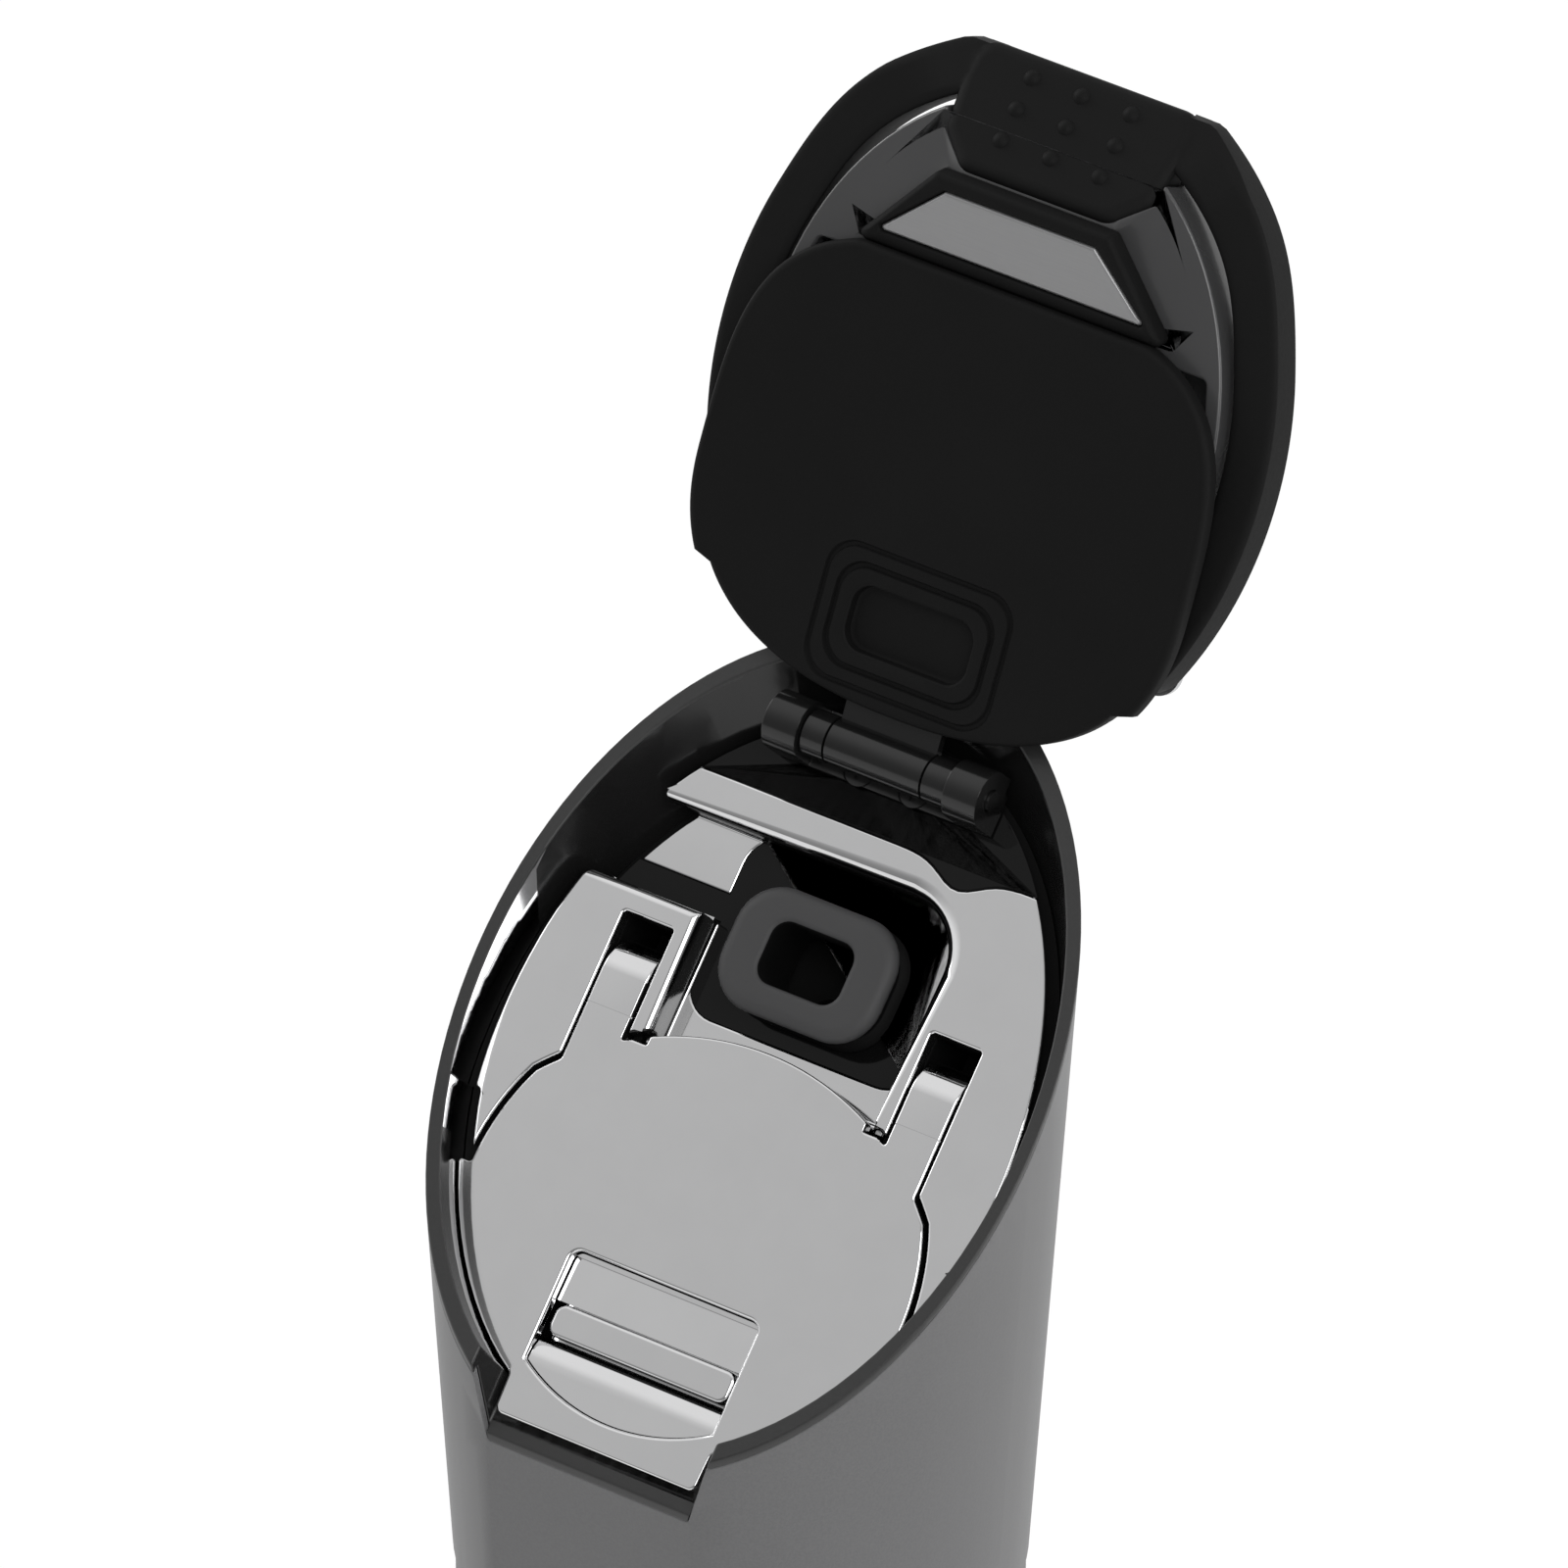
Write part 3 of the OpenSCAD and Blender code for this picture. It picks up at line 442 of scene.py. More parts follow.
def soft_grey(look):
    """Dark grey silicone of the spout."""
    base = look.spout_grey
    made = Finish("soft_grey", Specular_IOR_Level=0.35)
    grain = made.noise(2400, 3.0, 0.6)
    cloud = made.noise(120, 2.0)
    made.paint(Base_Color=made.mix(0.5 * grain + 0.5 * cloud, *shades(base, 0.88, 1.12)))
    made.paint(Roughness=0.52 + 0.12 * grain)
    made.bump(grain, 0.00002, 0.5)
    return made


def loop_rubber(look):
    """Rubber of the carry loop: matte, slightly dusty, worn a little lighter."""
    base = look.rubber_grey
    made = Finish("loop_rubber", Specular_IOR_Level=0.1)
    grain = made.noise(1800, 3.0, 0.65)
    wear = made.noise(55, 4.0, 0.6)
    made.paint(Base_Color=made.mix(0.4 * grain + 0.6 * wear, *shades(base, 0.72, 1.35)))
    made.paint(Roughness=0.55 + 0.14 * grain)
    made.bump(0.7 * grain + 0.3 * wear, 0.00004, 0.5)
    return made


def satin_plate(look):
    """Light satin metal of the catch plate."""
    base = look.catch_grey
    made = Finish("satin_plate", Metallic=0.6, Specular_IOR_Level=0.5)
    brush = made.noise(1.0, 3.0, 0.6, made.mapped((220, 6000, 6000)))
    made.paint(Base_Color=made.mix(brush, *shades(base, 0.93, 1.07)))
    made.paint(Roughness=0.34 + 0.12 * brush)
    return made


def turned_steel(look):
    """Steel of pins, screws and the liner, with fine turning marks."""
    base = look.steel_grey
    made = Finish("turned_steel", Metallic=1.0)
    marks = made.noise(1.0, 3.0, 0.6, made.mapped((500, 500, 7000)))
    made.paint(Base_Color=made.mix(marks, *shades(base, 0.9, 1.08)))
    made.paint(Roughness=0.22 + 0.2 * marks)
    return made


def frosted_straw(look):
    """Frosted plastic of the straw and the vent."""
    made = Finish("frosted_straw", Transmission_Weight=0.35, Specular_IOR_Level=0.5)
    haze = made.noise(200, 3.0)
    made.paint(Base_Color=made.mix(haze, 0.72, 0.86))
    made.paint(Roughness=0.34 + 0.14 * haze)
    return made


FINISHES = {}


def finish(maker):
    """The material of a finish, made once."""
    if maker not in FINISHES:
        FINISHES[maker] = maker(bpy.context.scene.bottle_look).material
    return FINISHES[maker]


def clear_selection():
    """Leaves nothing selected, in object mode, so that a new primitive stands alone."""
    active = bpy.context.view_layer.objects.active
    if active is not None and active.mode != "OBJECT":
        bpy.ops.object.mode_set(mode="OBJECT")
    bpy.ops.object.select_all(action="DESELECT")


def only(obj):
    """Leaves obj alone selected and active, in object mode."""
    clear_selection()
    obj.hide_viewport = False
    obj.select_set(True)
    bpy.context.view_layer.objects.active = obj


def edit(obj):
    """Goes into edit mode with all of obj selected."""
    only(obj)
    bpy.ops.object.mode_set(mode="EDIT")
    bpy.ops.mesh.select_all(action="SELECT")


def modify(obj, kind, **settings):
    """Adds a modifier and applies it."""
    only(obj)
    bpy.ops.object.modifier_add(type=kind)
    modifier = obj.modifiers[-1]
    for name, value in settings.items():
        setattr(modifier, name, value)
    bpy.ops.object.modifier_apply(modifier=modifier.name)


def copied(node, name):
    """A merged copy of a CAD node, free of its body."""
    only(frame["nodes"][node])
    bpy.ops.object.duplicate()
    obj = bpy.context.object
    obj.name = name
    obj.data.name = name
    obj.parent = None
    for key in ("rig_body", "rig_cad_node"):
        if key in obj:
            del obj[key]
    obj.data.materials.clear()
    edit(obj)
    bpy.ops.mesh.remove_doubles(threshold=SAME_POINT)
    bpy.ops.mesh.customdata_custom_splitnormals_clear()
    bpy.ops.object.mode_set(mode="OBJECT")
    return obj


def refined(node, name, width, segments=2):
    """A merged copy of a CAD node with its sharp edges rounded off."""
    return soften(tidied(copied(node, name)), width, segments)


def soften(obj, width, segments=2):
    """Rounds off every sharp edge."""
    modify(
        obj,
        "BEVEL",
        width=width * MM,
        segments=segments,
        limit_method="ANGLE",
        angle_limit=math.radians(SHARP),
        use_clamp_overlap=False,
        miter_outer="MITER_ARC",
    )
    return obj


def loft(name, rings, ring_closed=False):
    """A skin through rings of equal count, each extruded from the one before it."""
    count = len(rings[0])
    clear_selection()
    bpy.ops.mesh.primitive_circle_add(vertices=count, fill_type="NOTHING")
    obj = bpy.context.object
    obj.name = name
    obj.data.name = name
    for vertex, point in zip(obj.data.vertices, rings[0]):
        vertex.co = Vector(point) * MM
    edit(obj)
    order = list(range(count))
    for ring in rings[1:]:
        bpy.ops.mesh.extrude_region_move()
        mesh = bmesh.from_edit_mesh(obj.data)
        mesh.verts.ensure_lookup_table()
        rank = {index: i for i, index in enumerate(order)}
        fresh = [0] * count
        for vertex in mesh.verts:
            if vertex.select:
                before = next(
                    e.other_vert(vertex) for e in vertex.link_edges if not e.other_vert(vertex).select
                )
                i = rank[before.index]
                vertex.co = Vector(ring[i]) * MM
                fresh[i] = vertex.index
        bmesh.update_edit_mesh(obj.data)
        order = fresh
    if ring_closed:
        bpy.ops.mesh.select_all(action="SELECT")
        bpy.ops.mesh.select_non_manifold(extend=False)
        bpy.ops.mesh.bridge_edge_loops()
    else:
        bpy.ops.mesh.select_all(action="DESELECT")
        bpy.ops.mesh.select_non_manifold(extend=False)
        bpy.ops.mesh.edge_face_add()
        mesh = bmesh.from_edit_mesh(obj.data)
        loose = [e for e in mesh.edges if len(e.link_faces) == 1]
        if loose:
            bmesh.ops.holes_fill(mesh, edges=loose, sides=0)
            bmesh.update_edit_mesh(obj.data)
    bpy.ops.mesh.select_all(action="SELECT")
    bpy.ops.mesh.normals_make_consistent(inside=False)
    bpy.ops.object.mode_set(mode="OBJECT")
    return obj


def placed(obj, matrix):
    """Puts obj in its frame and applies that to its mesh."""
    only(obj)
    obj.matrix_world = matrix
    bpy.ops.object.transform_apply(location=True, rotation=True, scale=True)
    return obj


def settle(obj, maker, body, nodes, angle=SHARP):
    """Gives a finished piece its shading, material and body, and hides the nodes that it stands for.
    """
    only(obj)
    bpy.ops.object.shade_smooth_by_angle(angle=math.radians(angle))
    modify(obj, "WEIGHTED_NORMAL", mode="FACE_AREA_WITH_ANGLE", weight=50, keep_sharp=True)
    if not obj.data.materials:
        obj.data.materials.append(finish(maker))
    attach(obj, body)
    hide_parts(*nodes)
    return obj


def keep(node, maker):
    """A CAD node that stays as it is and gets its finish."""
    data = frame["nodes"][node].data
    data.materials.clear()
    data.materials.append(finish(maker))


def rounded_ring(wide, long, corner, height, middle=(0.0, 0.0), steps=8):
    """Points round a rectangle with round corners, at one height."""
    points = []
    for k, (sx, sy) in enumerate(((1, 1), (-1, 1), (-1, -1), (1, -1))):
        cx = middle[0] + sx * (wide / 2 - corner)
        cy = middle[1] + sy * (long / 2 - corner)
        for i in range(steps + 1):
            turn = math.radians(90 * k + 90 * i / steps)
            points.append((cx + corner * math.cos(turn), cy + corner * math.sin(turn), height))
    return points


def soft_polygon(corners, inset, radius, height, steps=5):
    """Points round a convex polygon, set in from its edges, with round corners."""
    count = len(corners)
    lines = []
    for i in range(count):
        start = Vector(corners[i])
        end = Vector(corners[(i + 1) % count])
        along = (end - start).normalized()
        lines.append((start + Vector((-along.y, along.x)) * inset, along))
    points = []
    for i in range(count):
        before = lines[i - 1]
        after = lines[i]
        cross = before[1].x * after[1].y - before[1].y * after[1].x
        gap = after[0] - before[0]
        reach = (gap.x * after[1].y - gap.y * after[1].x) / cross
        corner = before[0] + before[1] * reach
        turn = before[1].angle_signed(after[1])
        back = radius * math.tan(abs(turn) / 2)
        centre = corner - before[1] * back + Vector((-before[1].y, before[1].x)) * radius
        spoke = corner - before[1] * back - centre
        for k in range(steps + 1):
            angle = abs(turn) * k / steps
            x = centre.x + spoke.x * math.cos(angle) - spoke.y * math.sin(angle)
            y = centre.y + spoke.x * math.sin(angle) + spoke.y * math.cos(angle)
            points.append((x, y, height))
    return points


def radial_ring(inside, centre, height, count=240, reach=90.0):
    """Points of an outline seen from a centre, found where a ray leaves it."""
    points = []
    for i in range(count):
        angle = 2 * math.pi * (i + 0.5) / count
        low, high = 0.0, reach
        for _ in range(40):
            middle = (low + high) / 2
            x = centre[0] + middle * math.cos(angle)
            y = centre[1] + middle * math.sin(angle)
            if inside(x, y):
                low = middle
            else:
                high = middle
        points.append((centre[0] + low * math.cos(angle), centre[1] + low * math.sin(angle), height))
    return points


def in_rounded(wide, long, corner, middle):
    """A test for lying inside a rectangle with round corners."""

    def inside(x, y):
        over_x = max(abs(x - middle[0]) - wide / 2 + corner, 0.0)
        over_y = max(abs(y - middle[1]) - long / 2 + corner, 0.0)
        return math.hypot(over_x, over_y) < corner

    return inside


def select_edges(obj, chosen):
    """Goes into edit mode with those edges selected that pass a test."""
    edit(obj)
    bpy.ops.mesh.select_mode(type="EDGE")
    bpy.ops.mesh.select_all(action="DESELECT")
    mesh = bmesh.from_edit_mesh(obj.data)
    for edge in mesh.edges:
        edge.select_set(chosen(edge))
    bmesh.update_edit_mesh(obj.data)


def round_edges(obj, matrix, chosen, width, segments):
    """Rounds the folded edges whose two ends, in a piece's own frame, pass a test."""
    back = matrix.inverted()

    def folded(edge):
        ends = (back @ v.co / MM for v in edge.verts)
        return edge.calc_face_angle(0.0) > FOLD and chosen(*ends)

    select_edges(obj, folded)
    bpy.ops.mesh.bevel(offset=width * MM, segments=segments, affect="EDGES", clamp_overlap=False)
    bpy.ops.object.mode_set(mode="OBJECT")


def combined(obj, operation, *others):
    """Adds other solids to obj, or takes them out, or keeps what they share, and uses them up."""
    for other in others:
        modify(obj, "BOOLEAN", operation=operation, object=other, solver="EXACT")
        bpy.data.objects.remove(other)
    return obj


def split(obj, cutter):
    """Parts obj along a solid: obj keeps what lies outside, and what lies inside is returned."""
    only(obj)
    bpy.ops.object.duplicate()
    inner = bpy.context.object
    modify(inner, "BOOLEAN", operation="INTERSECT", object=cutter, solver="EXACT")
    combined(obj, "DIFFERENCE", cutter)
    return inner


def joined(obj, other):
    """One object of two, each with its own finish."""
    only(obj)
    other.select_set(True)
    bpy.ops.object.join()
    return obj


def block(matrix, size, middle):
    """A box in a piece's own frame, for cutting."""
    clear_selection()
    bpy.ops.mesh.primitive_cube_add(size=1)
    box = bpy.context.object
    sizes = Matrix.Diagonal((*(s * MM for s in size), 1.0))
    return placed(box, matrix @ Matrix.Translation(Vector(middle) * MM) @ sizes)


def finished_by_place(obj, makers, pick, matrix):
    """Gives each face one of some finishes, picked by its centre and normal in a piece's frame."""
    for maker in makers:
        obj.data.materials.append(finish(maker))
    back = matrix.inverted()
    turn = back.to_3x3()
    for face in obj.data.polygons:
        face.material_index = int(pick(back @ face.center / MM, turn @ face.normal))


def scored(obj, matrix, place, facing):
    """Adds edges all round obj where a plane of a piece's frame meets it."""
    edit(obj)
    bpy.ops.mesh.bisect(
        plane_co=matrix @ (Vector(place) * MM), plane_no=matrix.to_3x3() @ Vector(facing)
    )
    bpy.ops.object.mode_set(mode="OBJECT")


def in_face(first, second):
    """True for an edge that lies in the deck's face."""
    return abs(first.z) < LEVEL_WITHIN and abs(second.z) < LEVEL_WITHIN


def tidied(obj):
    """Flat faces in one piece again, for clean bevels."""
    edit(obj)
    bpy.ops.mesh.dissolve_limited(angle_limit=FLAT_ANGLE)
    bpy.ops.object.mode_set(mode="OBJECT")
    return obj


def halved(obj):
    """Flat faces with openings parted along the middle, with no other edges across them."""

    def in_plane(edge):
        on_middle = all(abs(v.co.x) < SAME_POINT / 2 for v in edge.verts)
        return edge.calc_face_angle(1.0) < IN_PLANE and not on_middle

    scored(obj, Matrix(), (0, 0, 0), (1, 0, 0))
    select_edges(obj, in_plane)
    bpy.ops.mesh.dissolve_edges(use_verts=False)
    bpy.ops.object.mode_set(mode="OBJECT")


def colour(name, description, *default):
    """A colour that a user would change."""
    return FloatVectorProperty(
        name=name, description=description, subtype="COLOR", size=3, default=default, min=0, max=1
    )


def number(name, description, default, low, high):
    """A number that a user would change."""
    return FloatProperty(name=name, description=description, default=default, min=low, max=high)


class BottleLook(bpy.types.PropertyGroup):
    """Colours and small sizes that a user would change."""

    paint_grey: colour("Paint", "Satin paint of the bottle and head", 0.105, 0.105, 0.107)
    plating_grey: colour("Plating", "Bright plating of the deck and flap", 0.68, 0.68, 0.685)
    lid_grey: colour("Lid shell", "Lacquer of the lid's shell", 0.05, 0.05, 0.051)
    spout_grey: colour("Spout", "Silicone of the spout", 0.045, 0.045, 0.046)
    rubber_grey: colour("Loop rubber", "Rubber of the carry loop", 0.006, 0.006, 0.006)
    catch_grey: colour("Catch plate", "Satin metal of the catch plate", 0.27, 0.27, 0.273)
    steel_grey: colour("Steel", "Steel of pins, screws and the liner", 0.56, 0.56, 0.57)
    rim_grey: number("Rim", "Grey of the rim's lip", 0.022, 0, 1)
    well_round: number(
        "Well edge", "Rounding of the spout well's far edge, in millimetres", 2.2, 0.4, 2.4
    )
    edge_round: number(
        "Plated edge", "Rounding of the plated deck's edges, in millimetres", 0.35, 0.1, 0.8
    )
    ridge_count: IntProperty(
        name="Foot ridges", description="Grip ridges moulded into the foot", default=3, min=1, max=5
    )


class BOTTLE_OT_body(bpy.types.Operator):
    """Models the bottle's body, foot and neck"""

    bl_idname = "bottle.body"
    bl_label = "Bottle body"

    def execute(self, context):
        shell = copied("bottle_shell", "bottle_body")
        settle(shell, satin_paint, "bottle", ["bottle_shell"])
        keep("bottle_liner", turned_steel)
        keep("base_plate", turned_steel)
        keep("neck_gasket", soft_black)
        foot = loft("grip_foot", self.foot_rings(context.scene.bottle_look.ridge_count))
        settle(foot, soft_black, "bottle", ["foot_pad"], 40)
        return {"FINISHED"}

    def foot_rings(self, ridges):
        """A turned pad: its top, its round edge and the grip ridges underneath."""
        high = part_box("foot_pad")[1]
        outer = high.x / MM
        top = high.z / MM
        profile = [(outer, top), (outer, top * 0.6), (outer - 0.3, 0.2), (outer - 0.9, 0.0)]
        step = (outer - FOOT_MIDDLE) / ridges
        for i in range(ridges):
            edge = outer - FOOT_MARGIN - step * i
            profile += [(edge - inwards, height) for inwards, height in RIDGE]
        turns = [2 * math.pi * k / FOOT_SIDES for k in range(FOOT_SIDES)]
        return [[(r * math.cos(t), r * math.sin(t), z) for t in turns] for r, z in profile]


class BOTTLE_OT_head(bpy.types.Operator):
    """Models the head's painted shell and its housing"""

    bl_idname = "bottle.head"
    bl_label = "Head shell and housing"

    def execute(self, context):
        shell = refined("head_shell", "head_cover", 0.15)
        settle(shell, satin_paint, "head", ["head_shell"])
        housing = refined("head_housing", "rim_housing", 0.22)
        scored(housing, DECK, (0, 0, PLATED_TOP), (0, 0, 1))
        scored(housing, DECK, (0, FLAP_POCKET, 0), (0, 1, 0))
        scored(housing, DECK, (0, PLATED_END, 0), (0, 1, 0))
        makers = (rim_plastic, gloss_black, bright_plating)
        finished_by_place(housing, makers, self.wall_finish, DECK)
        settle(housing, rim_plastic, "head", ["head_housing"])
        keep("screw_collar", gloss_black)
        keep("drink_base", soft_black)
        return {"FINISHED"}

    def wall_finish(self, centre, normal):
        """0 for the lip and outside, 1 for black inner walls, 2 for the plated wall round the deck."""
        across = DECK @ (centre * MM)
        facing = DECK.to_3x3() @ normal
        inwards = across.x * facing.x + across.y * facing.y < 0
        if not inwards or centre.z > DECK_DEPTH - LIP_THICK:
            return 0
        upright = abs(normal.z) < WALL_TILT
        beside_deck = centre.y > FLAP_POCKET or centre.z < PLATED_TOP
        return 2 if upright and beside_deck and centre.y < PLATED_END else 1


class BOTTLE_OT_deck(bpy.types.Operator):
    """Models the plated deck with its well and slots"""

    bl_idname = "bottle.deck"
    bl_label = "Plated deck"

    def execute(self, context):
        look = context.scene.bottle_look
        deck = copied("deck", "plated_deck")
        # Behind the well a strip of the plated deck is split off, lowered and given painted dark
        # reflection, standing for the hinge and lid mirrored there
        dark_reflection_strip = split(deck, placed(loft("cutter", self.dark_reflection_rings()), DECK))
        # The plated floors of the well and channel are split off too and get painted dark reflection
        # and shade
        floors = [split(deck, placed(loft("cutter", rings), DECK)) for rings in self.floor_rings()]
        round_edges(tidied(deck), DECK, self.well_rim, look.well_round, 6)
        round_edges(deck, DECK, self.post_rim, POST_ROUND, 5)
        soften(deck, look.edge_round, 3)
        # Walls down in the well, the slots and the gaps, and the posts' tips, are painted gloss black
        # as painted shade
        finished_by_place(deck, (bright_plating, gloss_black), self.in_gap, DECK)
        placed(dark_reflection_strip, Matrix.Translation(DECK.to_3x3() @ Vector((0, 0, -REFLECTION_DROP * MM))))
        soften(tidied(dark_reflection_strip), 0.2, 2)
        # The strip and the floors take the black of the painted dark reflection
        for dark in (dark_reflection_strip, *floors):
            dark.data.materials.append(finish(painted_reflection_black))
            joined(deck, dark)
        settle(deck, bright_plating, "head", ["deck"])
        keep("deck_screws", turned_steel)
        keep("vent_valve", soft_black)
        keep("flap_pins", turned_steel)
        return {"FINISHED"}

    def dark_reflection_rings(self):
        """The strip of painted dark reflection behind the well, where the plated deck mirrors the
        hinge: it ends in a curve that dips round the well's corner.
        """
        edge = []
        for i in range(81):
            x = -40.0 + i
            edge.append((x, REFLECTION_EDGE - DIP_DEPTH * math.exp(-(((x - DIP_X) / DIP_WIDE) ** 2))))
        outline = edge + [(40.0, 60.0), (-40.0, 60.0)]
        return [[(x, y, height) for x, y in outline] for height in REFLECTION_HEIGHTS]

    def floor_rings(self):
        """The floors of the spout's well and of its channel, painted dark as reflection and shade."""
        return (
            [rounded_ring(29.8, 21.6, 4.0, height, (0.4, 19.6)) for height in FLOOR_HEIGHTS],
            [rounded_ring(18.0, 3.4, 1.0, height, (-22.0, 20.9)) for height in FLOOR_HEIGHTS],
        )

    def well_rim(self, first, second):
        """The well's far edge, its round corner and its right side, at the deck's face."""
        middle = (first + second) / 2
        far = abs(middle.y - WELL_FAR) < NEAR
        side = abs(middle.x - WELL_HALF) < NEAR and middle.y > WELL_SIDE_START
        corner = Vector((WELL_HALF - WELL_CORNER, WELL_FAR - WELL_CORNER))
        on_round = abs((middle.xy - corner).length - WELL_CORNER) < 2 * NEAR
        bend = on_round and middle.x > corner.x and middle.y > corner.y
        return in_face(first, second) and (far or side or bend)

    def post_rim(self, first, second):
        """The edges of the left post towards the well and its channel."""
        middle = (first + second) / 2
        side = abs(middle.x + WELL_HALF) < NEAR and middle.y < CHANNEL_NEAR
        near = abs(middle.y - CHANNEL_NEAR) < NEAR and middle.x < -WELL_HALF
        return in_face(first, second) and (side or near)

    def in_gap(self, centre, normal):
        """True for walls down in the well, the slots and round the flap, and for the posts' tips:
        these get painted shade in gloss black.
        """
        beside_post = abs(abs(centre.x) - POST_TIP_X) < 1.5 and centre.y < POST_TIP_END
        tip = beside_post and normal.z < 0.97
        wall = abs(normal.z) < 0.4 and centre.z < -0.5
        low_bend = abs(normal.z) < 0.7 and centre.z < -1
        return tip or wall or low_bend


class BOTTLE_OT_flap(bpy.types.Operator):
    """Models the drinking flap and its finger pull"""

    bl_idname = "bottle.flap"
    bl_label = "Drinking flap"

    def execute(self, context):
        flap = tidied(copied("flap", "drinking_flap"))
        self.close_gap(flap)
        halved(flap)
        round_edges(flap, DECK, self.pull_corner, PULL_CORNER, 6)
        round_edges(flap, DECK, self.pull_rim, PULL_EDGE, 4)
        soften(flap, FLAP_EDGE, 3)
        creases = [block(DECK, CREASE, (x, CREASE_Y, 0.0)) for x in (-ARM_X, ARM_X)]
        combined(flap, "DIFFERENCE", *creases)
        # The flap's faces down in its gaps are painted gloss black as painted shade
        finished_by_place(flap, (bright_plating, gloss_black), self.in_gap, DECK)
        settle(flap, bright_plating, "flap", ["flap"])
        pull = self.pull()
        # The face under the pinch bar is painted gloss black as painted shadow
        finished_by_place(pull, (bright_plating, gloss_black), self.under_ridge, DECK)
        settle(pull, bright_plating, "flap", ["pull_insert"])
        keep("flap_gasket", soft_black)
        return {"FINISHED"}

    def in_gap(self, centre, normal):
        """True for the flap's back edge, low down in the gap before the deck, and beside its arms:
        these get painted shade in gloss black.
        """
        edge = abs(normal.z) < 0.4 and centre.z < -0.6 and centre.y > FLAP_POCKET
        beside_arm = abs(abs(centre.x) - 16) < 2.5 and 1.5 < centre.y < 8 and normal.z < 0.9
        return edge or beside_arm

    def close_gap(self, flap):
        """Brings the flap's round edge near to the pocket's wall."""
        back = DECK.inverted()
        ways = {}
        for face in flap.data.polygons:
            facing = back.to_3x3() @ face.normal
            centre = back @ face.center / MM
            round_edge = centre.y < FLAP_POCKET - 2.5 and abs(centre.x) > TONGUE_HALF
            if abs(facing.z) < 0.1 and round_edge:
                for index in face.vertices:
                    ways.setdefault(index, []).append(face.normal.copy())
        for index, normals in ways.items():
            flap.data.vertices[index].co += sum(normals, Vector()).normalized() * GAP_CLOSED * MM

    def pull_corner(self, first, second):
        """The two far corners of the opening for the pull."""
        upright = abs(first.z - second.z) > 0.5
        middle = (first + second) / 2
        return upright and abs(abs(middle.x) - PULL_HALF) < NEAR and abs(middle.y - PULL_FAR) < NEAR

    def pull_rim(self, first, second):
        """The opening's edge in the flap's face."""
        middle = (first + second) / 2
        along = PULL_FRONT - 1.5 * PULL_REACH < middle.y < PULL_FAR + PULL_REACH
        return in_face(first, second) and abs(middle.x) < PULL_HALF + PULL_REACH and along

    def pull(self):
        """A shallow dish with a ledge, a ramp and a front plate, and the pinch bar across it."""
        half = PULL_HALF + 1
        profile = (
            (PULL_FAR + 1, -5.2),
            (PULL_FAR + 1, -0.9),
            (PULL_FAR - 0.65, -0.9),
            (PULL_FAR - 0.7, -1.55),
            (PULL_FAR - 5.9, -1.4),
            (PULL_FAR - 5.95, -3.2),
            (PULL_FAR - 10.0, -3.2),
            (PULL_FAR - 10.3, -2.1),
            (PULL_FAR - 10.8, -1.4),
            (PULL_FAR - 11.6, -0.9),
            (PULL_FAR - 12.8, -0.65),
            (PULL_FRONT - 1, -0.55),
            (PULL_FRONT - 1, -5.2),
        )
        dish = loft("finger_pull", [[(x, y, n) for y, n in profile] for x in (-half, half)])
        outline = loft("outline", [self.pull_ring(height) for height in (-7.0, 1.0)])
        combined(dish, "INTERSECT", outline)
        steps = (
            (23.6, 3.8, 1.3, -4.2),
            (23.6, 3.8, 1.3, -1.5),
            (23.4, 3.6, 1.2, -1.27),
            (23.1, 3.3, 1.05, -1.16),
            (22.7, 2.9, 0.9, -1.12),
        )
        middle = (0.0, PULL_FAR - 7.95)
        bar = loft("bar", [rounded_ring(*step, middle) for step in steps])
        return placed(combined(dish, "UNION", bar), DECK)

    def pull_ring(self, height):
        """The pull's outline: round far corners, straight sides and a bowed front."""
        half = PULL_HALF - PULL_PLAY
        far = PULL_FAR - PULL_PLAY
        corner = PULL_CORNER - PULL_PLAY
        points = []
        for k in range(9):
            turn = math.radians(90 * k / 8)
            x = half - corner + corner * math.cos(turn)
            points.append((x, far - corner + corner * math.sin(turn)))
        points += [(-x, y) for x, y in reversed(points)]
        bow = PULL_SIDE_END - PULL_FRONT
        radius = (PULL_HALF ** 2 + bow ** 2) / (2 * bow)
        for k in range(33):
            x = half * (k / 16 - 1)
            points.append((x, PULL_FRONT + PULL_PLAY + radius - math.sqrt(radius ** 2 - x ** 2)))
        return [(x, y, height) for x, y in points]

    def under_ridge(self, centre, normal):
        """True for the face below the pinch bar's front edge, which gets painted shadow in gloss
        black.
        """
        return normal.y < -0.5 and PULL_FAR - 10.5 < centre.y < PULL_FAR - 8 and centre.z < -1.3


